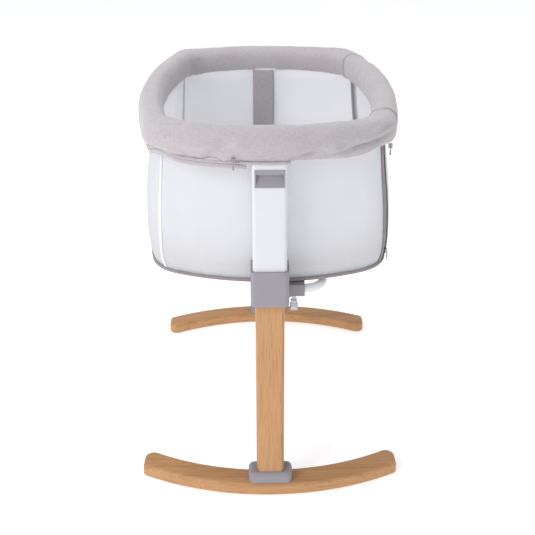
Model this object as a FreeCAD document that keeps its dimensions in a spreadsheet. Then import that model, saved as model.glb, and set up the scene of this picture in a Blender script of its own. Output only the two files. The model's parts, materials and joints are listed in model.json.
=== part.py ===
import FreeCAD, Part
import math
import os
import re
from types import SimpleNamespace

import Sketcher
from FreeCAD import Placement, Rotation, Vector

# Bedside bassinet on two height-adjustable legs. Millimetres, +Z up, origin on the floor midway
# between the legs. The side wall at +X folds down, -Y is the front end and +Y the rear end.
# Pieces of an end are drawn in that end's own frame: its origin is on the floor under the
# column's axis, and its -Y points away from the basket. The rear end is turned half round.

DIMENSIONS = {
    # stand
    "foot_span": 600,
    "foot_bend_radius": 572,
    "foot_width": 62,
    "foot_height": 29,
    "foot_edge_radius": 8,
    "foot_toe_radius": 10,
    "foot_heel_radius": 21,
    "floor_pad_height": 2,
    "floor_pad_radius": 9,
    "floor_pad_spread": 250,
    "leg_width": 62,
    "leg_depth": 38,
    "leg_setback": 2.5,
    "leg_corner_radius": 8,
    "leg_engagement": 163,
    "boot_width": 100,
    "boot_depth": 56,
    "boot_height": 26,
    "boot_corner_radius": 14,
    "boot_shoulder_radius": 10,
    "bolt_spacing": 40,
    "bolt_radius": 4,
    "bolt_head_radius": 7,
    "bolt_head_height": 5,
    "bolt_grip": 60,
    "glide_height": 12,
    # basket heights
    "basket_z": 514,
    "basket_depth": 324,
    # columns and collars
    "column_width": 71,
    "column_depth": 62,
    "column_wall": 2.5,
    "column_corner_radius": 8,
    "column_below_hem": 27,
    "saddle_height": 16,
    "saddle_flange": 4,
    "saddle_width": 60,
    "saddle_depth": 28,
    "collar_side_wall": 4.5,
    "collar_back_wall": 1.5,
    "collar_height": 80,
    "collar_floor": 4,
    "collar_corner_radius": 10,
    "collar_lip_height": 10,
    "collar_lip": 0.8,
    "bush_height": 57,
    "slide_gap": 0.3,
    # latch in each column
    "latch_below_leg_top": 20,
    "latch_travel": 3.5,
    "latch_bolt_radius": 4.5,
    "latch_bolt_length": 7.3,
    "latch_pin_radius": 1.25,
    "latch_pin_length": 41,
    "latch_gap": 0.3,
    "latch_pin_setback": 4.5,
    "guide_thickness": 2.2,
    "guide_half_height": 13,
    "guide_foot_height": 6,
    "cheek_half_height": 18,
    "rack_width": 24,
    "rack_thickness": 3,
    "rack_pocket_depth": 10,
    "rack_hole_radius": 5,
    "rack_step": 25,
    "rack_steps": 6,
    "rack_below": 12,
    "rack_above": 15,
    "bezel_width": 60,
    "bezel_height": 36,
    "bezel_below_column_top": 41.5,
    "bezel_proud": 2,
    "bezel_lip_height": 8.7,
    "bezel_wall": 3,
    "bezel_depth": 12.3,
    "trigger_bar_height": 7,
    "trigger_bar_tuck": 4,
    "trigger_arm_gap": 1.4,
    "trigger_arm_width": 4,
    "trigger_arm_inset": 16,
    "trigger_arm_thickness": 2.5,
    "spring_radius": 2.3,
    "spring_wire_radius": 0.45,
    "spring_pitch": 3,
    "spring_setback": 3.2,
    # plan of the basket: half sizes of the rim tube's axis, and the radii of its tangent arcs
    "rim_half_width": 271,
    "rim_half_length": 435,
    "end_radius": 450,
    "corner_radius": 112,
    "side_radius": 1500,
    "rim_tube_radius": 10,
    "rim_tube_wall": 1.2,
    "rim_pad_side": 29,
    "rim_pad_outward": 37,
    "rim_pad_inward": 35,
    "rim_pad_below": 46,
    "rim_pad_height": 70,
    "rim_pad_top_radius": 26,
    "rim_pad_low_radius": 16,
    "soft_gap": 0.5,
    # mesh walls, hem, floor
    "mesh_end_inset": 34,
    "mesh_thickness": 3,
    "mesh_hem_gap": 4.5,
    "hem_radius": 4,
    "hem_flare": 12,
    "hem_end_inset": 37,
    "frame_gap": 0.2,
    "lower_tube_radius": 8,
    "lower_tube_inset": 15,
    "lower_tube_side_inset": 4,
    "lower_tube_above_hem": 15,
    "board_thickness": 8,
    "board_inset": 16,
    "board_side_inset": 5,
    "mattress_side_inset": 33,
    "mattress_end_inset": 65,
    "mattress_thickness": 40,
    "mattress_edge_radius": 12,
    "floor_fabric_thickness": 1.5,
    "floor_fabric_above_hem": 0.5,
    "floor_fabric_side": 5,
    "floor_fabric_end": 8,
    "floor_notch_gap": 3.5,
    "strap_width": 58,
    "strap_shift": -6,
    "strap_thickness": 1.2,
    # folding side
    "side_half_length": 302,
    "side_gap": 1,
    "zip_tape_width": 6,
    "zip_tape_thickness": 1.3,
    "rail_tongue_length": 8,
    "rail_plug_length": 18,
    "rail_tongue_height": 8,
    "rail_tongue_width": 12,
    "rail_slot_gap": 0.8,
    "rail_bore_gap": 0.4,
    # bracket, stretcher and small parts under the floor
    "bracket_left": -41,
    "bracket_drop": 70,
    "bracket_right_drop": 27,
    "bracket_depth": 24,
    "ear_gap": 2,
    "ear_width": 33,
    "ear_seat": 8,
    "ear_outward": 11,
    "ear_wall": 4,
    "stretcher_radius": 9.5,
    "stretcher_wall": 1.2,
    "stretcher_seat": 1,
    "stretcher_bend": 42,
    "stretcher_below_hem": 18.5,
    "stretcher_end_inset": 35,
    "buckle_from_ear": 10,
    "buckle_width": 17,
    "buckle_height": 34,
    "buckle_thickness": 6,
    "bracket_screw_radius": 2.5,
    "bracket_screw_spacing": 44,
    "zip_pull_length": 16,
    "zip_pull_width": 4,
    "zip_pull_thickness": 1.2,
    "zip_eye_radius": 1.1,
    "buckle_eye_radius": 1.4,
    "buckle_strap_width": 10,
    "buckle_strap_thickness": 2,
    "buckle_strap_length": 10,
}

# Heights that several pieces share.
FOOT_TOP = "(floor_pad_height + foot_height)"
COLUMN_LOW = "(basket_z - column_below_hem)"
RIM_Z = "(basket_z + basket_depth)"
COLUMN_TOP = "(basket_z + basket_depth - saddle_height)"
LEG_TOP = "(basket_z - column_below_hem + leg_engagement)"
LATCH_Z = "(basket_z - column_below_hem + leg_engagement - latch_below_leg_top)"
PAD_LOW = "(basket_z + basket_depth - rim_pad_below)"
STRETCHER_Z = "(basket_z - stretcher_below_hem)"
STRETCHER_Y = "(rim_half_length - stretcher_end_inset)"
EAR_LEFT = "(column_width / 2 + collar_side_wall + ear_gap)"
BRACKET_RIGHT = f"({EAR_LEFT} + ear_width)"
STRETCHER_X = f"({BRACKET_RIGHT} + stretcher_bend - stretcher_seat)"
BUCKLE_X = f"({EAR_LEFT} + buckle_from_ear)"
BOARD_LOW = "(basket_z + lower_tube_above_hem + lower_tube_radius + frame_gap)"
MATTRESS_LOW = ("(basket_z + lower_tube_above_hem + lower_tube_radius + frame_gap"
                " + board_thickness + soft_gap)")

# Depths in an end's own frame.
LEG_FRONT = "(leg_setback - leg_depth / 2)"
LEG_BACK = "(leg_setback + leg_depth / 2)"
COLUMN_INSIDE = "(column_depth / 2 - column_wall)"
COLLAR_BACK = "(column_depth / 2 + collar_back_wall)"
PIN_Y = "(leg_setback - leg_depth / 2 - latch_pin_setback)"
BEZEL_LOW = "(basket_z + basket_depth - saddle_height - bezel_below_column_top - bezel_height)"
BEZEL_TOP = "(basket_z + basket_depth - saddle_height - bezel_below_column_top)"
BAR_LOW = ("(basket_z + basket_depth - saddle_height - bezel_below_column_top"
           " - bezel_lip_height - trigger_bar_tuck)")

ENDS = {"front": 0, "rear": 180}
NORMALS = {"z": ("XY_Plane", 1), "y": ("XZ_Plane", -1), "x": ("YZ_Plane", 1)}

doc = FreeCAD.newDocument("bassinet")
sheet = doc.addObject("Spreadsheet::Sheet", "Sheet")
for row, (alias, value) in enumerate(DIMENSIONS.items(), start=1):
    sheet.set(f"A{row}", alias)
    sheet.set(f"B{row}", str(value))
    sheet.setAlias(f"B{row}", alias)
doc.recompute()
dim = SimpleNamespace(**{alias: float(sheet.get(alias)) for alias in DIMENSIONS})

parts = []


# ---------------------------------------------------------------- tools

def link(expression):
    """Write an expression with every dimension, but no function, pointing at its cell."""
    return re.sub(r"\b[a-z]\w*\b(?!\()", lambda word: f"Sheet.{word[0]}", str(expression))


def new_body(name):
    return doc.addObject("PartDesign::Body", name)


def new_sketch(body, axis, place):
    """Sketch on the plane square to an axis, at a place along that axis."""
    role, sign = NORMALS[axis]
    plane = next(feature for feature in body.Origin.OriginFeatures if feature.Role == role)
    sketch = body.newObject("Sketcher::SketchObject", "Sketch")
    sketch.AttachmentSupport = [(plane, "")]
    sketch.MapMode = "FlatFace"
    sketch.setExpression("AttachmentOffset.Base.z", link(f"{sign} * ({place})"))
    return sketch


def dimension(sketch, kind, value, *where):
    index = sketch.addConstraint(Sketcher.Constraint(kind, *where, value[0]))
    sketch.setExpression(f"Constraints[{index}]", link(value[1]))


def outline(corners):
    """Closed outline through corners given as pairs of expressions."""
    def draw(sketch):
        count = len(corners)
        first = sketch.GeometryCount
        for index in range(count):
            turn = 2 * math.pi * index / count
            onward = 2 * math.pi * (index + 1) / count
            sketch.addGeometry(Part.LineSegment(Vector(math.cos(turn), math.sin(turn), 0),
                                                Vector(math.cos(onward), math.sin(onward), 0)), False)
        for index, (across, up) in enumerate(corners):
            following = first + (index + 1) % count
            sketch.addConstraint(Sketcher.Constraint("Coincident", first + index, 2, following, 1))
            turn = 2 * math.pi * index / count
            dimension(sketch, "DistanceX", (math.cos(turn), across), -1, 1, first + index, 1)
            dimension(sketch, "DistanceY", (math.sin(turn), up), -1, 1, first + index, 1)
    return draw


def rectangle(left, right, low, high):
    return outline([(left, low), (right, low), (right, high), (left, high)])


def centred(width, low, high):
    return rectangle(f"-({width}) / 2", f"({width}) / 2", low, high)


def circle(across, up, radius):
    def draw(sketch):
        index = sketch.addGeometry(Part.Circle(Vector(0, 0, 0), Vector(0, 0, 1), 1), False)
        dimension(sketch, "DistanceX", (0.5, across), -1, 1, index, 3)
        dimension(sketch, "DistanceY", (0.5, up), -1, 1, index, 3)
        dimension(sketch, "Radius", (1.0, radius), index)
    return draw


def arc(centre, radius, start, end):
    ring = Part.Circle(Vector(centre[0], centre[1], 0), Vector(0, 0, 1), radius)
    return Part.ArcOfCircle(ring, math.radians(start), math.radians(end))


def oval(half_width, half_length, grow):
    """Barrel-shaped oval of eight tangent arcs. Each half size is a pair of number and
    expression, and grow is the pair that every radius is larger by than the rim tube's."""
    def draw(sketch):
        wide, long, more = half_width[0], half_length[0], grow[0]
        end_r, corner_r, side_r = (dim.end_radius + more, dim.corner_radius + more,
                                   dim.side_radius + more)
        end_y = long - end_r
        side_x = wide - side_r
        apart = math.hypot(side_x, end_y)
        to_end, to_side = end_r - corner_r, side_r - corner_r
        along = (to_side ** 2 - to_end ** 2 + apart ** 2) / (2 * apart)
        off = math.sqrt(to_side ** 2 - along ** 2)
        ux, uy = -side_x / apart, end_y / apart
        corner = (side_x + along * ux - off * uy, along * uy + off * ux)
        side_turn = math.degrees(math.atan2(corner[1], corner[0] - side_x))
        end_turn = math.degrees(math.atan2(corner[1] - end_y, corner[0]))
        first = sketch.GeometryCount
        sketch.addGeometry([
            arc((side_x, 0), side_r, -side_turn, side_turn),
            arc(corner, corner_r, side_turn, end_turn),
            arc((0, end_y), end_r, end_turn, 180 - end_turn),
            arc((-corner[0], corner[1]), corner_r, 180 - end_turn, 180 - side_turn),
            arc((-side_x, 0), side_r, 180 - side_turn, 180 + side_turn),
            arc((-corner[0], -corner[1]), corner_r, 180 + side_turn, 180 + end_turn),
            arc((0, -end_y), end_r, 180 + end_turn, 360 - end_turn),
            arc((corner[0], -corner[1]), corner_r, 360 - end_turn, 360 - side_turn),
        ], False)
        for index in range(8):
            following = first + (index + 1) % 8
            sketch.addConstraint(Sketcher.Constraint("Tangent", first + index, 2, following, 1))
        for index, sign in ((0, 1), (4, -1)):
            sketch.addConstraint(Sketcher.Constraint("PointOnObject", first + index, 3, -1))
            dimension(sketch, "Radius", (side_r, f"side_radius + {grow[1]}"), first + index)
            place = f"{sign} * ({half_width[1]} - side_radius - ({grow[1]}))"
            dimension(sketch, "DistanceX", (sign * side_x, place), -1, 1, first + index, 3)
        for index, sign in ((2, 1), (6, -1)):
            sketch.addConstraint(Sketcher.Constraint("PointOnObject", first + index, 3, -2))
            dimension(sketch, "Radius", (end_r, f"end_radius + {grow[1]}"), first + index)
            place = f"{sign} * ({half_length[1]} - end_radius - ({grow[1]}))"
            dimension(sketch, "DistanceY", (sign * end_y, place), -1, 1, first + index, 3)
        for index in (1, 3, 5, 7):
            dimension(sketch, "Radius", (corner_r, f"corner_radius + {grow[1]}"), first + index)
    return draw


def rim_oval(wider, longer, grow):
    """Oval whose half sizes are the rim tube's plus the given pairs."""
    return oval((dim.rim_half_width + wider[0], f"(rim_half_width + {wider[1]})"),
                (dim.rim_half_length + longer[0], f"(rim_half_length + {longer[1]})"), grow)


def pad(body, axis, low, high, draw):
    """Solid between two places along an axis."""
    start = high if axis == "y" else low
    sketch = new_sketch(body, axis, start)
    draw(sketch)
    feature = body.newObject("PartDesign::Pad", "Pad")
    feature.Profile = sketch
    feature.setExpression("Length", link(f"({high}) - ({low})"))
    return feature


def pocket(body, axis, low, high, draw):
    """Hole between two places along an axis."""
    start = low if axis == "y" else high
    sketch = new_sketch(body, axis, start)
    draw(sketch)
    feature = body.newObject("PartDesign::Pocket", "Pocket")
    feature.Profile = sketch
    feature.setExpression("Length", link(f"({high}) - ({low})"))
    doc.recompute()
    before = feature.BaseFeature.Shape.Volume
    if not feature.Shape.Volume < before:
        raise ValueError(f"a pocket in {body.Label} cuts nothing")
    return feature


def upright(edge):
    return edge.BoundBox.XLength < 1e-3 and edge.BoundBox.YLength < 1e-3


def level_at(height):
    return lambda edge: (abs(edge.BoundBox.ZMin - height) < 1e-3
                         and abs(edge.BoundBox.ZMax - height) < 1e-3)


def dress(body, kind, size, choose):
    """Fillet or chamfer the edges that choose picks, by the size given as an expression."""
    doc.recompute()
    tip = body.Tip
    names = [f"Edge{index}" for index, edge in enumerate(tip.Shape.Edges, start=1) if choose(edge)]
    feature = body.newObject(f"PartDesign::{kind}", kind)
    feature.Base = (tip, names)
    feature.setExpression("Radius" if kind == "Fillet" else "Size", link(size))
    return feature


def block(x, y, z):
    """Box between pairs of expressions."""
    box = doc.addObject("Part::Box", "Block")
    for side, axis, (low, high) in (("Length", "x", x), ("Width", "y", y), ("Height", "z", z)):
        box.setExpression(side, link(f"({high}) - ({low})"))
        box.setExpression(f"Placement.Base.{axis}", link(low))
    return box


def rod(centre, radius, length, direction=(0, 0, 1)):
    """Cylinder from a centre of expressions along a direction."""
    piece = doc.addObject("Part::Cylinder", "Rod")
    piece.setExpression("Radius", link(radius))
    piece.setExpression("Height", link(length))
    piece.Placement = Placement(Vector(), Rotation(Vector(0, 0, 1), Vector(*direction)))
    for axis, place in zip("xyz", centre):
        piece.setExpression(f"Placement.Base.{axis}", link(place))
    return piece


def cut(base, tool):
    piece = doc.addObject("Part::Cut", "Cut")
    piece.Base, piece.Tool = base, tool
    return piece


def common(base, tool):
    piece = doc.addObject("Part::Common", "Common")
    piece.Base, piece.Tool = base, tool
    return piece


def fuse(*pieces):
    piece = doc.addObject("Part::MultiFuse", "Fuse")
    piece.Shapes = list(pieces)
    return piece


def group(*pieces):
    piece = doc.addObject("Part::Compound", "Group")
    piece.Links = list(pieces)
    return piece


def finish(piece, name, end=None):
    """Name a sub-part, and put it at its end of the basket if it belongs to one."""
    piece.Label = name
    if end:
        side = -1 if end == "front" else 1
        turn = Rotation(Vector(0, 0, 1), ENDS[end])
        piece.Placement = Placement(Vector(0, side * dim.rim_half_length, 0), turn)
        piece.setExpression("Placement.Base.y", link(f"{side} * rim_half_length"))
    parts.append(piece)
    return piece


# ---------------------------------------------------------------- stand

def bow(sketch):
    """Plan of the foot: a band bent about a centre behind it, with its ends cut square."""
    bend, half, span = dim.foot_bend_radius, dim.foot_width / 2, dim.foot_span / 2
    outer, inner = bend + half, bend - half
    out_turn, in_turn = (math.degrees(math.asin(span / radius)) for radius in (outer, inner))
    out_end = bend - math.sqrt(outer ** 2 - span ** 2)
    in_end = bend - math.sqrt(inner ** 2 - span ** 2)
    sketch.addGeometry([
        arc((0, bend), outer, 270 - out_turn, 270 + out_turn),
        Part.LineSegment(Vector(span, out_end, 0), Vector(span, in_end, 0)),
        arc((0, bend), inner, 270 - in_turn, 270 + in_turn),
        Part.LineSegment(Vector(-span, in_end, 0), Vector(-span, out_end, 0)),
    ], False)
    for first, first_end, second, second_end in ((0, 2, 1, 1), (1, 2, 2, 2), (2, 1, 3, 1), (3, 2, 0, 1)):
        sketch.addConstraint(Sketcher.Constraint("Coincident", first, first_end, second, second_end))
    sketch.addConstraint(Sketcher.Constraint("Coincident", 0, 3, 2, 3))
    sketch.addConstraint(Sketcher.Constraint("PointOnObject", 0, 3, -2))
    for line in (1, 3):
        sketch.addConstraint(Sketcher.Constraint("Vertical", line))
    dimension(sketch, "DistanceY", (bend, "foot_bend_radius"), -1, 1, 0, 3)
    dimension(sketch, "Radius", (outer, "foot_bend_radius + foot_width / 2"), 0)
    dimension(sketch, "Radius", (inner, "foot_bend_radius - foot_width / 2"), 2)
    dimension(sketch, "DistanceX", (span, "foot_span / 2"), -1, 1, 1, 1)
    dimension(sketch, "DistanceX", (-span, "-foot_span / 2"), -1, 1, 3, 1)


BOLT_XS = ("-bolt_spacing / 2", "bolt_spacing / 2")
RACK_LOW = f"({LATCH_Z} - (rack_steps - 1) * rack_step - rack_below)"
RACK_HIGH = f"({LATCH_Z} + rack_above)"


def make_foot(end):
    body = new_body(f"{end}_foot_body")
    pad(body, "z", "floor_pad_height", FOOT_TOP, bow)
    middle = dim.foot_bend_radius - math.sqrt(dim.foot_bend_radius ** 2 - (dim.foot_span / 2) ** 2)
    dress(body, "Fillet", "foot_toe_radius", lambda edge: upright(edge) and edge.BoundBox.YMin < middle)
    dress(body, "Fillet", "foot_heel_radius", lambda edge: upright(edge) and edge.Length > 1
          and edge.BoundBox.YMin > middle and abs(edge.CenterOfMass.x) > dim.foot_span / 2 - 1)
    dress(body, "Fillet", "foot_edge_radius", level_at(dim.floor_pad_height + dim.foot_height))
    dress(body, "Fillet", "foot_edge_radius / 2", level_at(dim.floor_pad_height))
    for across in BOLT_XS:
        pocket(body, "z", "floor_pad_height", FOOT_TOP, circle(across, "leg_setback", "bolt_radius"))
        pocket(body, "z", "floor_pad_height", "floor_pad_height + bolt_head_height + 1",
               circle(across, "leg_setback", "bolt_head_radius"))
    finish(body, f"{end}_foot", end)


def make_foot_fasteners(end):
    """Bolts up through the foot into the leg, and the pads that the foot rests on."""
    bolts = []
    head_low = "floor_pad_height + 1"
    for across in BOLT_XS:
        head = rod((across, "leg_setback", head_low), "bolt_head_radius", "bolt_head_height")
        shank = rod((across, "leg_setback", head_low), "bolt_radius", "bolt_head_height + bolt_grip")
        bolts.append(fuse(head, shank))
    finish(group(*bolts), f"{end}_foot_bolts", end)
    bend = "foot_bend_radius - sqrt(foot_bend_radius ^ 2 - floor_pad_spread ^ 2)"
    places = (("-floor_pad_spread", bend), ("0", "0"), ("floor_pad_spread", bend))
    pads = []
    for across, along in places:
        disc = rod(("0", "0", "0"), "floor_pad_radius", "floor_pad_height")
        disc.setExpression("Placement.Base.x", link(across))
        disc.setExpression("Placement.Base.y", link(along))
        pads.append(disc)
    finish(group(*pads), f"{end}_foot_pads", end)


def make_leg(end):
    body = new_body(f"{end}_leg_body")
    pad(body, "z", FOOT_TOP, LEG_TOP, centred("leg_width", LEG_FRONT, LEG_BACK))
    dress(body, "Fillet", "leg_corner_radius", upright)
    pocket(body, "z", RACK_LOW, RACK_HIGH,
           centred("rack_width", f"{LEG_FRONT} - 1", f"{LEG_FRONT} + rack_pocket_depth"))
    for across in BOLT_XS:
        pocket(body, "z", FOOT_TOP, f"{FOOT_TOP} + bolt_grip", circle(across, "leg_setback", "bolt_radius"))
    finish(body, f"{end}_leg", end)


def make_rack(end):
    """Strip of latch holes let into the leg's outer face."""
    body = new_body(f"{end}_rack_body")
    pad(body, "z", RACK_LOW, RACK_HIGH,
        centred("rack_width", LEG_FRONT, f"{LEG_FRONT} + rack_thickness"))
    hole = pocket(body, "y", LEG_FRONT, f"{LEG_FRONT} + rack_thickness",
                  circle("0", LATCH_Z, "rack_hole_radius"))
    row_of_holes = body.newObject("PartDesign::LinearPattern", "LinearPattern")
    row_of_holes.Originals = [hole]
    z_axis = next(feature for feature in body.Origin.OriginFeatures if feature.Role == "Z_Axis")
    row_of_holes.Direction = (z_axis, [""])
    row_of_holes.Reversed = True
    row_of_holes.setExpression("Length", link("(rack_steps - 1) * rack_step"))
    row_of_holes.Occurrences = int(dim.rack_steps)
    body.Tip = row_of_holes
    finish(body, f"{end}_height_rack", end)


def make_boot(end):
    """Shaped shoe over the joint of leg and foot."""
    body = new_body(f"{end}_boot_body")
    pad(body, "z", FOOT_TOP, f"{FOOT_TOP} + boot_height",
        centred("boot_width", "leg_setback - boot_depth / 2", "leg_setback + boot_depth / 2"))
    dress(body, "Fillet", "boot_corner_radius", upright)
    top = dim.floor_pad_height + dim.foot_height + dim.boot_height
    dress(body, "Fillet", "boot_shoulder_radius", level_at(top))
    pocket(body, "z", FOOT_TOP, f"{FOOT_TOP} + boot_height + 1",
           centred("leg_width", LEG_FRONT, LEG_BACK))
    finish(body, f"{end}_boot", end)


def make_glide(end):
    """Cap on top of the leg that slides inside the column."""
    body = new_body(f"{end}_glide_body")
    pad(body, "z", LEG_TOP, f"{LEG_TOP} + glide_height",
        centred("column_width - 2 * (column_wall + slide_gap)", LEG_FRONT, f"{COLUMN_INSIDE} - slide_gap"))
    dress(body, "Fillet", "column_corner_radius - column_wall", upright)
    finish(body, f"{end}_leg_glide", end)


# ---------------------------------------------------------------- columns

SCREW_XS = ("-bracket_screw_spacing / 2", "bracket_screw_spacing / 2")
INSIDE_WIDTH = "(column_width - 2 * column_wall)"


def screw_holes(body, low, high):
    for across in SCREW_XS:
        pocket(body, "y", low, high, circle(across, STRETCHER_Z, "bracket_screw_radius"))


def make_column(end):
    body = new_body(f"{end}_column_body")
    pad(body, "z", COLUMN_LOW, COLUMN_TOP, centred("column_width", "-column_depth / 2", "column_depth / 2"))
    dress(body, "Fillet", "column_corner_radius", upright)
    pocket(body, "z", COLUMN_LOW, COLUMN_TOP, centred(INSIDE_WIDTH, f"-{COLUMN_INSIDE}", COLUMN_INSIDE))
    half = dim.column_width / 2 - dim.column_wall
    dress(body, "Fillet", "column_corner_radius - column_wall",
          lambda edge: upright(edge) and abs(abs(edge.CenterOfMass.x) - half) < 0.01
          and abs(abs(edge.CenterOfMass.y) - (dim.column_depth / 2 - dim.column_wall)) < 0.01)
    pocket(body, "y", "-column_depth / 2 - 1", f"-{COLUMN_INSIDE} + 1",
           centred("bezel_width - 2", f"{BEZEL_LOW} + 1", f"{BEZEL_TOP} - 1"))
    screw_holes(body, f"{COLUMN_INSIDE} - 1", "column_depth / 2")
    finish(body, f"{end}_column", end)


def make_collar(end):
    body = new_body(f"{end}_collar_body")
    low = f"({COLUMN_LOW} - collar_floor)"
    high = f"({COLUMN_LOW} - collar_floor + collar_height)"
    width = "(column_width + 2 * collar_side_wall)"
    front = "(-column_depth / 2 - collar_side_wall)"
    pad(body, "z", low, high, centred(width, front, COLLAR_BACK))
    dress(body, "Fillet", "collar_corner_radius", lambda edge: upright(edge) and edge.CenterOfMass.y < 0)
    pad(body, "z", f"{high} - collar_lip_height", high,
        centred(f"{width} + 2 * collar_lip - 2 * collar_corner_radius", f"{front} - collar_lip", "0"))
    underside = dim.basket_z - dim.column_below_hem - dim.collar_floor
    dress(body, "Fillet", "collar_side_wall", level_at(underside))
    pocket(body, "z", COLUMN_LOW, f"{high} + 1",
           centred("column_width", "-column_depth / 2", "column_depth / 2"))
    pocket(body, "z", f"{low} - 1", COLUMN_LOW,
           centred("leg_width + 3 * slide_gap", f"{LEG_FRONT} - slide_gap", f"{LEG_BACK} + slide_gap"))
    screw_holes(body, "column_depth / 2 - 1", COLLAR_BACK)
    finish(body, f"{end}_collar", end)


def make_bush(end):
    body = new_body(f"{end}_bush_body")
    pad(body, "z", COLUMN_LOW, f"{COLUMN_LOW} + bush_height",
        centred(INSIDE_WIDTH, f"-{COLUMN_INSIDE}", COLUMN_INSIDE))
    dress(body, "Fillet", "column_corner_radius - column_wall", upright)
    pocket(body, "z", COLUMN_LOW, f"{COLUMN_LOW} + bush_height",
           centred("leg_width + slide_gap", f"{LEG_FRONT} - slide_gap / 2", f"{LEG_BACK} + slide_gap / 2"))
    screw_holes(body, f"{LEG_BACK} + slide_gap", COLUMN_INSIDE)
    finish(body, f"{end}_guide_bush", end)


def make_saddle(end):
    """Cap of the column that cradles the rim tube."""
    plug = block((f"-{INSIDE_WIDTH} / 2 + column_wall", f"{INSIDE_WIDTH} / 2 - column_wall"),
                 (f"-{COLUMN_INSIDE} + column_wall", f"{COLUMN_INSIDE} - column_wall"),
                 (f"{COLUMN_TOP} - saddle_height", COLUMN_TOP))
    flange = block(("-column_width / 2", "column_width / 2"), ("-column_depth / 2", "column_depth / 2"),
                   (COLUMN_TOP, f"{COLUMN_TOP} + saddle_flange"))
    cradle = block(("-saddle_width / 2", "saddle_width / 2"), ("-saddle_depth / 2", "saddle_depth / 2"),
                   (f"{COLUMN_TOP} + saddle_flange", RIM_Z))
    groove = doc.addObject("Part::Torus", "Groove")
    groove.setExpression("Radius1", link("end_radius"))
    groove.setExpression("Radius2", link("rim_tube_radius + slide_gap"))
    groove.setExpression("Placement.Base.y", link("end_radius"))
    groove.setExpression("Placement.Base.z", link(RIM_Z))
    finish(cut(fuse(plug, flange, cradle), groove), f"{end}_tube_saddle", end)


# ---------------------------------------------------------------- latch

ARM_OUT = "(trigger_arm_inset + trigger_arm_width)"
ARM_BACK = f"({LEG_FRONT} - trigger_arm_gap)"
ARM_FRONT = f"({LEG_FRONT} - trigger_arm_gap - trigger_arm_thickness)"
CHEEK_FRONT = f"(-{COLUMN_INSIDE} + latch_gap)"


def make_bezel(end):
    """Grey finger scoop in the column's outer face, with a lip over the trigger."""
    face = "(-column_depth / 2 - bezel_proud)"
    back = "(-column_depth / 2 - bezel_proud + bezel_depth)"
    body = new_body(f"{end}_bezel_body")
    pad(body, "z", BEZEL_LOW, BEZEL_TOP, centred("bezel_width", face, "-column_depth / 2"))
    pad(body, "z", f"{BEZEL_LOW} + 1", f"{BEZEL_TOP} - 1",
        centred("bezel_width - 2", "-column_depth / 2 - 1", back))
    scoop = centred("bezel_width - 2 * bezel_wall", f"{BEZEL_LOW} + bezel_wall",
                    f"{BEZEL_TOP} - bezel_lip_height")
    pocket(body, "y", f"{face} - 1", f"{face} + bezel_depth - bezel_wall", scoop)
    pocket(body, "z", f"{BAR_LOW} - 2", f"{BEZEL_TOP} + 1",
           centred("bezel_width - 2 * bezel_wall + 1", f"-{COLUMN_INSIDE}", f"{back} + 1"))
    finish(body, f"{end}_latch_bezel", end)


def make_trigger(end):
    """Lift bar behind the lip, two arms, and cheeks with sloped slots for the latch pin."""
    bar_top = f"({BAR_LOW} + trigger_bar_height)"
    body = new_body(f"{end}_trigger_body")
    pad(body, "z", BAR_LOW, bar_top,
        centred("bezel_width - 2 * bezel_wall - 1", CHEEK_FRONT, f"{ARM_FRONT} - 1"))
    pad(body, "z", BAR_LOW, bar_top, centred(f"2 * {ARM_OUT}", f"{ARM_FRONT} - 2", ARM_BACK))
    for side in ("-1", "1"):
        xs = (f"{side} * {ARM_OUT}", f"{side} * trigger_arm_inset")
        left, right = xs if side == "-1" else xs[::-1]
        pad(body, "x", left, right, rectangle(ARM_FRONT, ARM_BACK, LATCH_Z, f"{BAR_LOW} + 1"))
        pad(body, "x", left, right, rectangle(CHEEK_FRONT, ARM_BACK, f"{LATCH_Z} - cheek_half_height",
                                              f"{LATCH_Z} + cheek_half_height"))
    low_y, low_z = f"{PIN_Y} - latch_travel", f"{LATCH_Z} - latch_travel"
    spread = "sqrt(2) * (latch_pin_radius + latch_gap)"
    slot = outline([(f"{PIN_Y} + {spread}", LATCH_Z), (PIN_Y, f"{LATCH_Z} + {spread}"),
                    (f"{low_y} - {spread}", low_z), (low_y, f"{low_z} - {spread}")])
    pocket(body, "x", f"-{ARM_OUT}", ARM_OUT, slot)
    finish(body, f"{end}_release_trigger", end)


def make_latch_bolt(end):
    """Round bolt that points at the rack, carried by a cross pin in the trigger's cheeks."""
    tip = f"({LEG_FRONT} - latch_gap)"
    nose = rod(("0", tip, LATCH_Z), "latch_bolt_radius", "latch_bolt_length", (0, -1, 0))
    pin_place = ("-latch_pin_length / 2", PIN_Y, LATCH_Z)
    hole, pin = (rod(pin_place, "latch_pin_radius", "latch_pin_length", (1, 0, 0)) for _ in range(2))
    finish(group(cut(nose, hole), pin), f"{end}_latch_bolt", end)


def make_latch_guide(end):
    body = new_body(f"{end}_guide_body")
    back = f"({LEG_FRONT} - 2 * latch_gap)"
    front = f"({back} - guide_thickness)"
    low, high = f"({LATCH_Z} - guide_half_height)", f"({LATCH_Z} + guide_half_height)"
    pad(body, "z", low, high, centred("2 * trigger_arm_inset - 2", front, back))
    for foot in ((f"{low} - guide_foot_height", low), (high, f"{high} + guide_foot_height")):
        pad(body, "z", *foot, centred("rack_width", f"-{COLUMN_INSIDE}", back))
    pocket(body, "y", front, back, circle("0", LATCH_Z, "latch_bolt_radius + latch_gap / 3"))
    finish(body, f"{end}_latch_guide", end)


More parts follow.
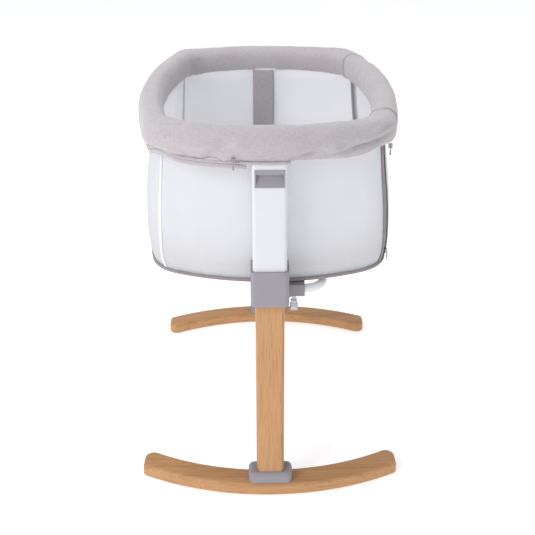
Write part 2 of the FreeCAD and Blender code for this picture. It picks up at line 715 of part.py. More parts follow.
def make_spring(end):
    """Coil between the trigger's bar and the saddle above it."""
    low = f"({BAR_LOW} + trigger_bar_height + spring_wire_radius)"
    height = (f"({COLUMN_TOP} - saddle_height - 2 * spring_wire_radius - trigger_bar_height - {BAR_LOW})")
    place_y = f"{CHEEK_FRONT} + spring_setback"
    coil = doc.addObject("Part::Helix", "Coil")
    coil.setExpression("Radius", link("spring_radius"))
    coil.setExpression("Pitch", link("spring_pitch"))
    coil.setExpression("Height", link(height))
    coil.setExpression("Placement.Base.y", link(place_y))
    coil.setExpression("Placement.Base.z", link(low))
    wire = doc.addObject("Part::Circle", "Wire")
    wire.setExpression("Radius", link("spring_wire_radius"))
    wire.Placement = Placement(Vector(), Rotation(Vector(1, 0, 0), 90))
    wire.setExpression("Placement.Base.x", link("spring_radius"))
    wire.setExpression("Placement.Base.y", link(place_y))
    wire.setExpression("Placement.Base.z", link(low))
    doc.recompute()
    sweep = doc.addObject("Part::Sweep", "Sweep")
    sweep.Sections = [wire]
    sweep.Spine = (coil, [f"Edge{index}" for index in range(1, len(coil.Shape.Edges) + 1)])
    sweep.Solid = True
    sweep.Frenet = True
    finish(group(sweep), f"{end}_trigger_spring", end)


# ---------------------------------------------------------------- rim

def oval_pipe(body, kind, plan, height, half_width, radius):
    """Round pipe along an oval, added to or cut from the body."""
    spine = new_sketch(body, "z", height)
    plan(spine)
    profile = new_sketch(body, "y", "0")
    circle(half_width, height, radius)(profile)
    feature = body.newObject(f"PartDesign::{kind}Pipe", kind)
    feature.Profile = profile
    feature.Spine = spine
    return feature


RIM_PLAN = rim_oval((0, "0"), (0, "0"), (0, "0"))


def side_block(near_gap, reach="0"):
    """Space that holds the folding side, shorter by a gap at each end."""
    half = f"side_half_length - {near_gap} + {reach}"
    return block(("0", "2 * rim_half_width"), (f"-({half})", half), ("0", f"{RIM_Z} + 200"))


def make_rim():
    """Rim tube and padded rim, each split into the fixed run and the folding side's run."""
    tube = new_body("rim_tube_body")
    oval_pipe(tube, "Additive", RIM_PLAN, RIM_Z, "rim_half_width", "rim_tube_radius")
    oval_pipe(tube, "Subtractive", RIM_PLAN, RIM_Z, "rim_half_width", "rim_tube_radius - rim_tube_wall")
    finish(cut(tube, side_block("0", "rail_plug_length / 2")), "rim_tube")
    finish(common(tube, side_block("side_gap", "0")), "drop_rail_tube")

    ring = new_body("rim_pad_body")
    outer = rim_oval((dim.rim_pad_side, "rim_pad_side"), (dim.rim_pad_outward, "rim_pad_outward"),
                     (dim.rim_pad_side, "rim_pad_side"))
    inner = rim_oval((-dim.rim_pad_side, "-rim_pad_side"), (-dim.rim_pad_inward, "-rim_pad_inward"),
                     (-dim.rim_pad_side, "-rim_pad_side"))
    pad(ring, "z", PAD_LOW, f"{PAD_LOW} + rim_pad_height", outer)
    pocket(ring, "z", PAD_LOW, f"{PAD_LOW} + rim_pad_height", inner)
    low = dim.basket_z + dim.basket_depth - dim.rim_pad_below
    dress(ring, "Fillet", "rim_pad_top_radius", level_at(low + dim.rim_pad_height))
    dress(ring, "Fillet", "rim_pad_low_radius", level_at(low))
    oval_pipe(ring, "Subtractive", RIM_PLAN, RIM_Z, "rim_half_width", "rim_tube_radius + slide_gap")
    sockets = []
    for side in (-1, 1):
        middle = f"{side} * rim_half_length"
        depth = "(column_depth / 2 + soft_gap)"
        sockets.append(block(("-column_width / 2 - soft_gap", "column_width / 2 + soft_gap"),
                             (f"{middle} - {depth}", f"{middle} + {depth}"),
                             (f"{PAD_LOW} - 1", f"{RIM_Z} + slide_gap")))
    fixed = cut(ring, fuse(*sockets, side_block("0")))
    finish(cut(fixed, tongue_room()), "rim_pad")
    finish(common(ring, side_block("side_gap")), "drop_rail_pad")


def tongue_room():
    """Room beside the rail joints, open towards +X, so that the tongues can leave."""
    half_height = "(rail_tongue_height / 2 + rail_slot_gap + soft_gap)"
    return block(("rim_half_width - 2 * rim_pad_side", "rim_half_width + 2 * rim_pad_side"),
                 ("-side_half_length - rail_plug_length", "side_half_length + rail_plug_length"),
                 (f"{RIM_Z} - {half_height}", f"{RIM_Z} + {half_height}"))


# ---------------------------------------------------------------- walls and floor

# Mesh wall from hem to rim: height over the hem, and half width past the rim tube's.
MESH_LEVELS = (("mesh_hem_gap", "hem_flare"), ("46", "21.5"), ("126", "19"), ("196", "10"),
               ("basket_depth - rim_pad_below - 0.5", "1"))


def mesh_loft(body, kind, grow, grow_value):
    sketches = []
    for rise, flare in MESH_LEVELS:
        sketch = new_sketch(body, "z", f"basket_z + {rise}")
        flare_value = dim.hem_flare if flare == "hem_flare" else float(flare)
        wider = (flare_value + grow_value, f"{flare} + {grow}")
        longer = (grow_value - dim.mesh_end_inset, f"{grow} - mesh_end_inset")
        rim_oval(wider, longer, (grow_value - dim.mesh_thickness, f"({grow}) - mesh_thickness"))(sketch)
        sketches.append(sketch)
    feature = body.newObject(f"PartDesign::{kind}Loft", kind)
    feature.Profile = sketches[0]
    feature.Sections = sketches[1:]
    feature.Ruled = True
    return feature


def mesh_shell(name, outside, inside):
    """Shell between two offsets from the mesh's outer face, each a pair of number and expression."""
    body = new_body(name)
    mesh_loft(body, "Additive", outside[1], outside[0])
    mesh_loft(body, "Subtractive", inside[1], inside[0])
    return body


def wall_block(x, y):
    return block(x, y, ("0", RIM_Z))


def make_walls():
    shell = mesh_shell("mesh_body", (0, "0"), (-dim.mesh_thickness, "-mesh_thickness"))
    past = "2 * rim_half_length"
    half = "side_half_length"
    panels = {
        "drop_side_mesh": (("0", past), (f"side_gap - {half}", f"{half} - side_gap")),
        "left_mesh_wall": ((f"-{past}", "0"), (f"-{half}", half)),
        "front_mesh_wall": ((f"-{past}", past), (f"-{past}", f"-{half}")),
        "rear_mesh_wall": ((f"-{past}", past), (half, past)),
    }
    for name, (xs, ys) in panels.items():
        finish(common(shell, wall_block(xs, ys)), name)

    far = (0.3 + dim.zip_tape_thickness, "0.3 + zip_tape_thickness")
    tape = mesh_shell("tape_body", far, (0.3, "0.3"))
    for name, near, reach in (("drop_zip_tapes", "side_half_length - side_gap - zip_tape_width",
                               "side_half_length - side_gap"),
                              ("corner_zip_tapes", "side_half_length + side_gap",
                               "side_half_length + side_gap + zip_tape_width")):
        runs = [common(tape, wall_block(("0", past), (f"-({reach})", f"-({near})"))),
                common(tape, wall_block(("0", past), (near, reach)))]
        finish(group(*runs), name)

    inside = -dim.mesh_thickness - 0.3
    strap = mesh_shell("strap_body", (inside, "-mesh_thickness - 0.3"),
                       (inside - dim.strap_thickness, "-mesh_thickness - 0.3 - strap_thickness"))
    xs = ("strap_shift - strap_width / 2", "strap_shift + strap_width / 2")
    above = (f"{MATTRESS_LOW} + 2", RIM_Z)
    runs = [common(strap, block(xs, ys, above)) for ys in (("0", past), (f"-{past}", "0"))]
    finish(group(*runs), "wall_straps")


# How much tighter than the rim tube's arcs those of the pieces round the floor are.
HEM_EASE = (-5, "-5")
FABRIC_EASE = (-12, "-12")
TUBE_EASE = (-20, "-20")
MATTRESS_EASE = (-33, "-33")


def make_floor():
    hem = new_body("hem_body")
    hem_plan = rim_oval((dim.hem_flare, "hem_flare"), (-dim.hem_end_inset, "-hem_end_inset"), HEM_EASE)
    oval_pipe(hem, "Additive", hem_plan, "basket_z", "rim_half_width + hem_flare", "hem_radius")
    finish(hem, "hem_piping")

    inset = dim.mesh_end_inset + dim.lower_tube_inset
    tube = new_body("lower_tube_body")
    tube_plan = rim_oval((-dim.lower_tube_side_inset, "-lower_tube_side_inset"),
                         (-inset, "-mesh_end_inset - lower_tube_inset"), TUBE_EASE)
    height = "basket_z + lower_tube_above_hem"
    oval_pipe(tube, "Additive", tube_plan, height, "rim_half_width - lower_tube_side_inset",
              "lower_tube_radius")
    finish(tube, "lower_frame_tube")

    board = new_body("board_body")
    board_in = dim.mesh_end_inset + dim.board_inset
    pad(board, "z", BOARD_LOW, f"{BOARD_LOW} + board_thickness",
        rim_oval((-dim.board_side_inset, "-board_side_inset"),
                 (-board_in, "-mesh_end_inset - board_inset"), TUBE_EASE))
    finish(board, "base_board")

    mattress = new_body("mattress_body")
    pad(mattress, "z", MATTRESS_LOW, f"{MATTRESS_LOW} + mattress_thickness",
        rim_oval((-dim.mattress_side_inset, "-mattress_side_inset"),
                 (-dim.mattress_end_inset, "-mattress_end_inset"), MATTRESS_EASE))
    low = (dim.basket_z + dim.lower_tube_above_hem + dim.lower_tube_radius + dim.frame_gap
           + dim.board_thickness + dim.soft_gap)
    dress(mattress, "Fillet", "mattress_edge_radius", level_at(low + dim.mattress_thickness))
    dress(mattress, "Fillet", "mattress_edge_radius", level_at(low))
    finish(mattress, "mattress")

    fabric = new_body("fabric_body")
    fabric_low = "(basket_z + floor_fabric_above_hem)"
    fabric_high = f"({fabric_low} + floor_fabric_thickness)"
    pad(fabric, "z", fabric_low, fabric_high,
        rim_oval((dim.floor_fabric_side, "floor_fabric_side"),
                 (dim.floor_fabric_end - inset, "floor_fabric_end - mesh_end_inset - lower_tube_inset"),
                 FABRIC_EASE))
    inner = f"(rim_half_length - {COLLAR_BACK} - bracket_depth - floor_notch_gap)"
    for low_y, high_y in (("-rim_half_length", f"-{inner}"), (inner, "rim_half_length")):
        pocket(fabric, "z", fabric_low, fabric_high,
               centred("column_width + floor_notch_gap", low_y, high_y))
    finish(fabric, "floor_fabric")


# ---------------------------------------------------------------- brackets, stretcher, fold-down rail

def make_bracket(end):
    """Grey bracket that carries the floor frame on the collar, with a socket for the stretcher.
    The socket is on the folding side at both ends, so the rear bracket is a mirror image."""
    mirror = 1 if end == "front" else -1
    high = "(basket_z - hem_radius - 2)"
    back = f"({COLLAR_BACK} + bracket_depth)"
    body = new_body(f"{end}_bracket_body")
    corners = [("bracket_left", "basket_z - bracket_drop"),
               (BRACKET_RIGHT, "basket_z - bracket_right_drop"),
               (BRACKET_RIGHT, high), ("bracket_left", high)]
    pad(body, "y", COLLAR_BACK, back, outline([(f"{mirror} * {x}", z) for x, z in corners]))
    ear_y = "stretcher_end_inset"
    ear = sorted_pair(mirror, EAR_LEFT, BRACKET_RIGHT)
    pad(body, "x", *ear, rectangle(f"{ear_y} - ear_outward - 1", back,
                                   f"{STRETCHER_Z} - stretcher_radius - ear_wall", high))
    inner_y = f"({COLLAR_BACK} + bracket_depth / 2)"
    pad(body, "z", f"{high} - 1", "basket_z + lower_tube_above_hem - lower_tube_radius - 0.3",
        centred("column_width", inner_y, back))
    hole = sorted_pair(mirror, f"{EAR_LEFT} + ear_seat - 2", BRACKET_RIGHT)
    pocket(body, "x", *hole, circle(ear_y, STRETCHER_Z, "stretcher_radius + 0.1"))
    screw_holes(body, COLLAR_BACK, back)
    finish(body, f"{end}_frame_bracket", end)

    screws = []
    for across in SCREW_XS:
        head = rod((across, f"{back} + bracket_screw_radius", STRETCHER_Z), "2 * bracket_screw_radius",
                   "bracket_screw_radius", (0, -1, 0))
        shank = rod((across, back, STRETCHER_Z), "bracket_screw_radius",
                    f"{back} - {COLUMN_INSIDE} + column_wall", (0, -1, 0))
        screws.append(fuse(head, shank))
    finish(group(*screws), f"{end}_bracket_screws", end)


def sorted_pair(mirror, low, high):
    return (low, high) if mirror > 0 else (f"-({high})", f"-({low})")


def make_stretcher():
    """Bent tube under the floor on the folding side, from socket to socket."""
    body = new_body("stretcher_body")
    spine = new_sketch(body, "z", STRETCHER_Z)
    bend, y = dim.stretcher_bend, dim.rim_half_length - dim.stretcher_end_inset
    ear_x = dim.column_width / 2 + dim.collar_side_wall + dim.ear_gap
    end_x = ear_x + dim.ear_seat
    x = ear_x + dim.ear_width + bend - dim.stretcher_seat
    spine.addGeometry([
        Part.LineSegment(Vector(end_x, -y, 0), Vector(x - bend, -y, 0)),
        arc((x - bend, bend - y), bend, 270, 360),
        Part.LineSegment(Vector(x, bend - y, 0), Vector(x, y - bend, 0)),
        arc((x - bend, y - bend), bend, 0, 90),
        Part.LineSegment(Vector(x - bend, y, 0), Vector(end_x, y, 0)),
    ], False)
    for first, first_end, second, second_end in ((0, 2, 1, 1), (1, 2, 2, 1), (2, 2, 3, 1), (3, 2, 4, 1)):
        spine.addConstraint(Sketcher.Constraint("Tangent", first, first_end, second, second_end))
    for line, kind in ((0, "Horizontal"), (2, "Vertical"), (4, "Horizontal")):
        spine.addConstraint(Sketcher.Constraint(kind, line))
    for curve in (1, 3):
        dimension(spine, "Radius", (bend, "stretcher_bend"), curve)
    dimension(spine, "DistanceX", (end_x, f"{EAR_LEFT} + ear_seat"), -1, 1, 0, 1)
    dimension(spine, "DistanceY", (-y, f"-{STRETCHER_Y}"), -1, 1, 0, 1)
    dimension(spine, "DistanceX", (x, STRETCHER_X), -1, 1, 2, 1)
    dimension(spine, "DistanceX", (end_x, f"{EAR_LEFT} + ear_seat"), -1, 1, 4, 2)
    dimension(spine, "DistanceY", (y, STRETCHER_Y), -1, 1, 4, 2)
    for kind, radius in (("Additive", "stretcher_radius"),
                         ("Subtractive", "stretcher_radius - stretcher_wall")):
        profile = new_sketch(body, "x", f"{EAR_LEFT} + ear_seat")
        circle(f"-{STRETCHER_Y}", STRETCHER_Z, radius)(profile)
        pipe = body.newObject(f"PartDesign::{kind}Pipe", kind)
        pipe.Profile = profile
        pipe.Spine = spine
    finish(body, "stretcher_tube")


def rail_x(y):
    """Where the rim tube's axis crosses a line across the basket."""
    return dim.rim_half_width - dim.side_radius + math.sqrt(dim.side_radius ** 2 - y ** 2)


def make_rail_joint():
    """Plugs in the ends of the two rim tubes: slotted in the fixed tube, tongued in the
    folding rail. The slots are open towards +X, so the tongues swing out of them."""
    sockets, tongues = [], []
    for side in (-1, 1):
        turn = math.degrees(math.asin(side * dim.side_half_length / dim.side_radius))
        place = Placement(Vector(rail_x(dim.side_half_length), side * dim.side_half_length,
                                 dim.basket_z + dim.basket_depth),
                          Rotation(Vector(0, 0, 1), turn + (0 if side > 0 else 180)))
        sockets.append(rail_plug(place, True))
        tongues.append(rail_plug(place, False))
    for name, solids in (("rail_sockets", sockets), ("rail_tongues", tongues)):
        piece = doc.addObject("Part::Feature", name)
        piece.Shape = Part.makeCompound(solids)
        finish(piece, name)


def rail_plug(place, slotted):
    """Plug in one tube end, drawn with the tube running along +Y from the joint, outwards."""
    bore = dim.rim_tube_radius - dim.rim_tube_wall - dim.rail_bore_gap
    gap, length = dim.side_gap, dim.rail_plug_length
    tall, wide = dim.rail_tongue_height, dim.rail_tongue_width
    outwards = Vector(0, 1, 0)
    if slotted:
        oblique = dim.rim_tube_radius * dim.side_half_length / dim.side_radius
        flange = length / 2 - 1.5 * gap - oblique
        plug = Part.makeCylinder(dim.rim_tube_radius, flange, Vector(0, gap, 0), outwards)
        stem = Part.makeCylinder(bore, wide, Vector(0, gap, 0), outwards)
        room = tall + 2 * dim.rail_slot_gap
        slot = Part.makeBox(4 * bore, dim.rail_tongue_length, room, Vector(-2 * bore, 0, -room / 2))
        solid = plug.fuse(stem).cut(slot)
    else:
        tongue = Part.makeBox(wide, dim.rail_tongue_length + gap, tall,
                              Vector(-wide / 2, -3 * gap, -tall / 2))
        stem = Part.makeCylinder(bore, length, Vector(0, -gap - length, 0), outwards)
        solid = stem.fuse(tongue)
    solid.Placement = place
    return solid


# Where each zip pull hangs from its slider.
RIM_PULL = ("-71", "-rim_half_length - rim_pad_outward + 1.5", f"{PAD_LOW} + 6")
SIDE_PULL = ("rim_half_width - 25", "52 - rim_half_length", f"{PAD_LOW} + 8")
WALL_PULL = ("rim_half_width - 9", "-side_half_length - 2", "basket_z + 26")


def make_trim():
    """Zip pulls that hang on their sliders, and the buckle under the front bracket."""
    wide, thin = "zip_pull_width", "zip_pull_thickness"
    pulls = {
        "rim_zip_pull": (RIM_PULL, wide, thin, (1, 0, 0)),
        "side_zip_pull": (SIDE_PULL, wide, thin, (1, 0, 0)),
        "wall_zip_pull": (WALL_PULL, f"2 * {thin}", wide, (0, 1, 0)),
    }
    for name, ((x, y, z), width, deep, axis) in pulls.items():
        left, front = f"({x} - {width} / 2)", f"({y} - {deep})"
        blade = block((left, f"{left} + {width}"), (front, y), (f"{z} - zip_pull_length", z))
        start = (left, f"{y} - {deep} / 2", z) if axis[0] else (x, front, z)
        finish(fuse(blade, rod(start, "zip_eye_radius", wide, axis)), name)
    y = f"(-{STRETCHER_Y} - ear_outward / 2)"
    top = f"{STRETCHER_Z} - stretcher_radius - ear_wall - buckle_eye_radius - soft_gap"
    half = "(buckle_strap_width / 2)"
    strap = block((f"{BUCKLE_X} - {half}", f"{BUCKLE_X} + {half}"),
                  (f"{y} - buckle_strap_thickness / 2", f"{y} + buckle_strap_thickness / 2"),
                  (f"{top} - buckle_strap_length", top))
    eye = rod((f"{BUCKLE_X} - {half}", y, top), "buckle_eye_radius", f"2 * {half}", (1, 0, 0))
    shell = block((f"{BUCKLE_X} - buckle_width / 2", f"{BUCKLE_X} + buckle_width / 2"),
                  (f"{y} - buckle_thickness / 2", f"{y} + buckle_thickness / 2"),
                  (f"{top} - buckle_height", f"{top} - 0.8 * buckle_strap_length"))
    finish(fuse(strap, shell, eye), "strap_buckle")


for end_name in ENDS:
    make_foot(end_name)
    make_foot_fasteners(end_name)
    make_leg(end_name)
    make_rack(end_name)
    make_boot(end_name)
    make_glide(end_name)
    make_column(end_name)
    make_collar(end_name)
    make_bush(end_name)
    make_saddle(end_name)
    make_bezel(end_name)
    make_trigger(end_name)
    make_latch_bolt(end_name)
    make_latch_guide(end_name)
    make_spring(end_name)
    make_bracket(end_name)
make_rim()
make_walls()
make_floor()
make_stretcher()
make_rail_joint()
make_trim()
doc.recompute()

for feature in doc.Objects:
    if {"Invalid", "Error"} & set(feature.State):
        raise RuntimeError(f"{feature.Label} ({feature.Name}) failed: {feature.State}")
unsound = [piece.Label for piece in parts
           if piece.Shape.isNull() or not piece.Shape.isValid() or not piece.Shape.Solids]
if unsound:
    raise RuntimeError(f"no valid solid: {unsound}")

os.makedirs("parts", exist_ok=True)
for piece in parts:
    piece.Shape.exportStep(os.path.join("parts", f"{piece.Label}.step"))
print(len(parts), "parts written")
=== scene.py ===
import json
import math

import bmesh
import bpy
import numpy as np
from mathutils import Matrix, Vector, noise


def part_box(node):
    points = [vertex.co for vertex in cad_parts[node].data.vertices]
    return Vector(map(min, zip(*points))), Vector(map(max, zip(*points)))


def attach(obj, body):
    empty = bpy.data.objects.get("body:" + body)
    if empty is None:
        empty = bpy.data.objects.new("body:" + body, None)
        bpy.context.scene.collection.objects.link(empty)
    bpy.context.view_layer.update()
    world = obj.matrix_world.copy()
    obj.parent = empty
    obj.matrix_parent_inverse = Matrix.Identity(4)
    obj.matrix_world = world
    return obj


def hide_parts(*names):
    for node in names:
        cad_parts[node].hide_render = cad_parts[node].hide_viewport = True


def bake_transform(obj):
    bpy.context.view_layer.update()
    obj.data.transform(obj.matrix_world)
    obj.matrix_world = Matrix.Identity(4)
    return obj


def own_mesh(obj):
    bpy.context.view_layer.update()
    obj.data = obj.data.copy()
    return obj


# Looks of the bassinet, built around its CAD frame. Metres, +Z up, -Y is the near end and +X is
# the side that folds down.

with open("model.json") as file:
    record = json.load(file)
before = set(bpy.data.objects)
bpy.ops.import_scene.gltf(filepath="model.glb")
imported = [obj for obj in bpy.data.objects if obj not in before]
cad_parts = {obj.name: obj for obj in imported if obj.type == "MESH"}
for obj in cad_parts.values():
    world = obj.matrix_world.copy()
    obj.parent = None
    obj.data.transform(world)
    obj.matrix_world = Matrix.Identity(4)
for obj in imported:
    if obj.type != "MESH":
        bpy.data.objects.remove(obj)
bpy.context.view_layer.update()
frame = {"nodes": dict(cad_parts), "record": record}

TAU = 2 * math.pi

# ---------------------------------------------------------------- sizes, read from the frame

tube_low, tube_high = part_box("rim_tube")
pad_low, pad_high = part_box("rim_pad")
wall_low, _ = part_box("front_mesh_wall")
hem_low, hem_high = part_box("hem_piping")
_, drop_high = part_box("drop_rail_pad")
bed_low, bed_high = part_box("mattress")

TUBE_RADIUS = (tube_high.z - tube_low.z) / 2
RIM_HALF_WIDTH = -tube_low.x - TUBE_RADIUS
RIM_HALF_LENGTH = tube_high.y - TUBE_RADIUS
RIM_Z = tube_low.z + TUBE_RADIUS
PAD_TOP, PAD_BOTTOM = pad_high.z, pad_low.z
HEM_Z = (hem_low.z + hem_high.z) / 2
SPLIT_Y = drop_high.y                      # the folding side runs from -SPLIT_Y to +SPLIT_Y
END_RADIUS, CORNER_RADIUS, SIDE_RADIUS = 0.450, 0.112, 1.500
PAD_SIDE = -pad_low.x - RIM_HALF_WIDTH     # how far the padding stands out from the tube's axis
PAD_END = pad_high.y - RIM_HALF_LENGTH
PAD_END_INWARD = 0.035
WALL_END_INSET = RIM_HALF_LENGTH + wall_low.y
WALL_FOOT = HEM_Z + 0.003                  # the mesh walls run from here
WALL_TOP = PAD_BOTTOM + 0.022              # up to here, inside the padding


# ---------------------------------------------------------------- mesh tools

def link_mesh(name, vertices, faces, uvs=None, smooth=True):
    """Object from lists of points and faces. uvs gives a cloth coordinate to each face corner."""
    mesh = bpy.data.meshes.new(name)
    mesh.from_pydata([tuple(point) for point in vertices], [], faces)
    if uvs is not None:
        layer = mesh.uv_layers.new(name="cloth")
        layer.data.foreach_set("uv", np.array(uvs, np.float32).ravel())
    mesh.polygons.foreach_set("use_smooth", [smooth] * len(mesh.polygons))
    mesh.update()
    piece = bpy.data.objects.new(name, mesh)
    bpy.context.scene.collection.objects.link(piece)
    return piece


def lattice(name, rows, closed_u=False, closed_v=False, smooth=True):
    """Surface through rows of points. Its cloth coordinates are lengths along it, in metres."""
    rows = np.asarray(rows, float)
    count_v, count_u = rows.shape[:2]
    middle = rows[count_v // 2]
    step_u = np.linalg.norm(np.roll(middle, -1, 0) - middle, axis=1)
    along = np.concatenate([[0], np.cumsum(step_u)])
    column = rows[:, 0]
    step_v = np.linalg.norm(np.roll(column, -1, 0) - column, axis=1)
    across = np.concatenate([[0], np.cumsum(step_v)])
    faces, uvs = [], []
    for v in range(count_v if closed_v else count_v - 1):
        for u in range(count_u if closed_u else count_u - 1):
            right, up = (u + 1) % count_u, (v + 1) % count_v
            row, next_row = v * count_u, up * count_u
            faces.append((row + u, row + right, next_row + right, next_row + u))
            uvs += [(along[u], across[v]), (along[u + 1], across[v]),
                    (along[u + 1], across[v + 1]), (along[u], across[v + 1])]
    return link_mesh(name, rows.reshape(-1, 3), faces, uvs, smooth)


def edit(piece, change):
    """Run change(bm) on a piece's mesh."""
    bm = bmesh.new()
    bm.from_mesh(piece.data)
    change(bm)
    bm.normal_update()
    bm.to_mesh(piece.data)
    bm.free()
    piece.data.update()


def drop_faces(piece, planes, unwanted):
    """Cut the faces along planes across Y, then delete those whose middle is unwanted."""
    def change(bm):
        for y in planes:
            everything = bm.verts[:] + bm.edges[:] + bm.faces[:]
            bmesh.ops.bisect_plane(bm, geom=everything, plane_co=(0, y, 0), plane_no=(0, 1, 0))
        doomed = [face for face in bm.faces if unwanted(face.calc_center_median())]
        bmesh.ops.delete(bm, geom=doomed, context="FACES")
    edit(piece, change)


def thicken(piece, thickness):
    """Give a surface a thickness, on the side away from its normals."""
    modifier = piece.modifiers.new("thickness", "SOLIDIFY")
    modifier.thickness = thickness
    modifier.offset = -1
    bpy.context.view_layer.update()
    graph = bpy.context.evaluated_depsgraph_get()
    shaped = bpy.data.meshes.new_from_object(piece.evaluated_get(graph))
    piece.modifiers.clear()
    piece.data = shaped
    return piece


def close_ends(piece):
    """Fill every open edge of a mesh with a face."""
    def change(bm):
        bmesh.ops.holes_fill(bm, edges=[edge for edge in bm.edges if edge.is_boundary])
    edit(piece, change)


def round_box(name, low, high, bevel, segments=3):
    """Moulded block with rounded edges."""
    centre, size = (Vector(low) + Vector(high)) / 2, Vector(high) - Vector(low)
    piece = link_mesh(name, [], [], smooth=True)

    def change(bm):
        shape = Matrix.Translation(centre) @ Matrix.Diagonal((*size, 1))
        bmesh.ops.create_cube(bm, size=1, matrix=shape)
        bmesh.ops.bevel(bm, geom=bm.edges[:], offset=bevel, segments=segments, affect="EDGES",
                        profile=0.6)
        for face in bm.faces:
            face.smooth = True
    edit(piece, change)
    return piece


def tube_along(name, points, radius, sides=12, closed=False):
    """Round cord or tube through points."""
    points = [Vector(point) for point in points]
    count = len(points)
    rows = []
    for index, point in enumerate(points):
        before = points[index - 1] if closed or index else point
        after = points[(index + 1) % count] if closed or index < count - 1 else point
        forward = (after - before).normalized()
        side = forward.cross(Vector((0, 0, 1)))
        if side.length < 1e-4:
            side = Vector((1, 0, 0))
        side.normalize()
        up = side.cross(forward).normalized()
        turns = [TAU * step / sides for step in range(sides)]
        rows.append([point + radius * (math.cos(turn) * side + math.sin(turn) * up) for turn in turns])
    return lattice(name, rows, closed_u=True, closed_v=closed)


# ---------------------------------------------------------------- plan of the basket

def oval(half_width, half_length, grow, samples=420):
    """Points and outward normals of the barrel-shaped oval of eight tangent arcs."""
    end_r, corner_r, side_r = END_RADIUS + grow, CORNER_RADIUS + grow, SIDE_RADIUS + grow
    end_y, side_x = half_length - end_r, half_width - side_r
    apart = math.hypot(side_x, end_y)
    to_end, to_side = end_r - corner_r, side_r - corner_r
    along = (to_side ** 2 - to_end ** 2 + apart ** 2) / (2 * apart)
    off = math.sqrt(to_side ** 2 - along ** 2)
    ux, uy = -side_x / apart, end_y / apart
    corner = (side_x + along * ux - off * uy, along * uy + off * ux)
    side_turn = math.atan2(corner[1], corner[0] - side_x)
    end_turn = math.atan2(corner[1] - end_y, corner[0])
    arcs = [((side_x, 0), side_r, 0, side_turn), (corner, corner_r, side_turn, end_turn),
            ((0, end_y), end_r, end_turn, math.pi / 2)]
    counts = [round(samples * share) for share in (0.09, 0.075, 0.085)]
    quarter = []
    for ((cx, cy), radius, start, stop), count in zip(arcs, counts):
        for turn in np.linspace(start, stop, count, endpoint=False):
            quarter.append((cx + radius * math.cos(turn), cy + radius * math.sin(turn), turn))
    top = (0.0, half_length, math.pi / 2)
    upper = quarter + [top] + [(-x, y, math.pi - turn) for x, y, turn in reversed(quarter)]
    whole = upper[:-1] + [(-x, -y, turn + math.pi) for x, y, turn in upper[:-1]]
    return (np.array([(x, y) for x, y, _ in whole]),
            np.array([(math.cos(turn), math.sin(turn)) for _, _, turn in whole]))


CORNER_TURN, CORNER_SPREAD = 42, 20     # degrees from +X of a corner's middle, and how wide it is


def cornerness(normals):
    """1 at the middle of each rounded corner of the basket, falling to 0 on sides and ends."""
    turn = np.degrees(np.arctan2(np.abs(normals[:, 1]), np.abs(normals[:, 0])))
    return np.exp(-((turn - CORNER_TURN) / CORNER_SPREAD) ** 2)


def smooth_step(value, low, high):
    """0 below low, 1 above high, and an easy curve between."""
    share = np.clip((value - low) / (high - low), 0, 1)
    return share * share * (3 - 2 * share)


# Mesh wall: height over the hem, and how far it stands out from the rim tube's axis there.
WALL_PROFILE = ((0.000, 0.0105), (0.006, 0.0130), (0.018, 0.0172), (0.046, 0.0212), (0.085, 0.0212),
                (0.126, 0.0190), (0.165, 0.0150), (0.196, 0.0108), (0.240, 0.0060), (0.285, 0.0015))
HEM_TUCK, TUCK_RISE = 0.004, 0.030      # the ends draw in at the hem, over this height
TOP_LEAN, LEAN_DROP = 0.012, 0.012      # and lean out at the top, from this far under the padding


def wall_out(height):
    heights, flares = zip(*WALL_PROFILE)
    return float(np.interp(height - HEM_Z, heights, flares))


def wall_ring(height, off=0.0, samples=420):
    """Level ring of the wall's outer face, moved outwards by off."""
    flare = wall_out(height)
    tuck = HEM_TUCK * float(1 - smooth_step(height - HEM_Z, 0, TUCK_RISE))
    lean = TOP_LEAN * float(smooth_step(height, PAD_BOTTOM - LEAN_DROP, WALL_TOP))
    half_length = RIM_HALF_LENGTH - WALL_END_INSET - tuck + lean + off
    return oval(RIM_HALF_WIDTH + flare + off, half_length, off - 0.003, samples)


# ---------------------------------------------------------------- materials

def new_material(name, colour, roughness, **sockets):
    """Principled material. sockets are its other inputs, with _ for each space in a name."""
    material = bpy.data.materials.new(name)
    material.use_nodes = True
    shader = material.node_tree.nodes["Principled BSDF"]
    shader.inputs["Base Color"].default_value = (*colour, 1)
    shader.inputs["Roughness"].default_value = roughness
    for socket, value in sockets.items():
        shader.inputs[socket.replace("_", " ")].default_value = value
    return material, material.node_tree, shader


def node(tree, kind, **settings):
    """New shader node, with its inputs or properties set by name."""
    made = tree.nodes.new(kind)
    for key, value in settings.items():
        if key in made.inputs:
            made.inputs[key].default_value = value
        else:
            setattr(made, key, value)
    return made


def coordinates(tree, scale, cloth=False):
    """Object coordinates, or a cloth piece's own, scaled along each axis."""
    source = node(tree, "ShaderNodeTexCoord")
    mapping = node(tree, "ShaderNodeMapping")
    mapping.inputs["Scale"].default_value = scale
    tree.links.new(source.outputs["UV" if cloth else "Object"], mapping.inputs["Vector"])
    return mapping.outputs["Vector"]


def noise_at(tree, vector, scale, detail=3.0, roughness=0.55, distortion=0.0):
    texture = node(tree, "ShaderNodeTexNoise")
    texture.inputs["Scale"].default_value = scale
    texture.inputs["Detail"].default_value = detail
    texture.inputs["Roughness"].default_value = roughness
    texture.inputs["Distortion"].default_value = distortion
    tree.links.new(vector, texture.inputs["Vector"])
    return texture.outputs["Fac"]


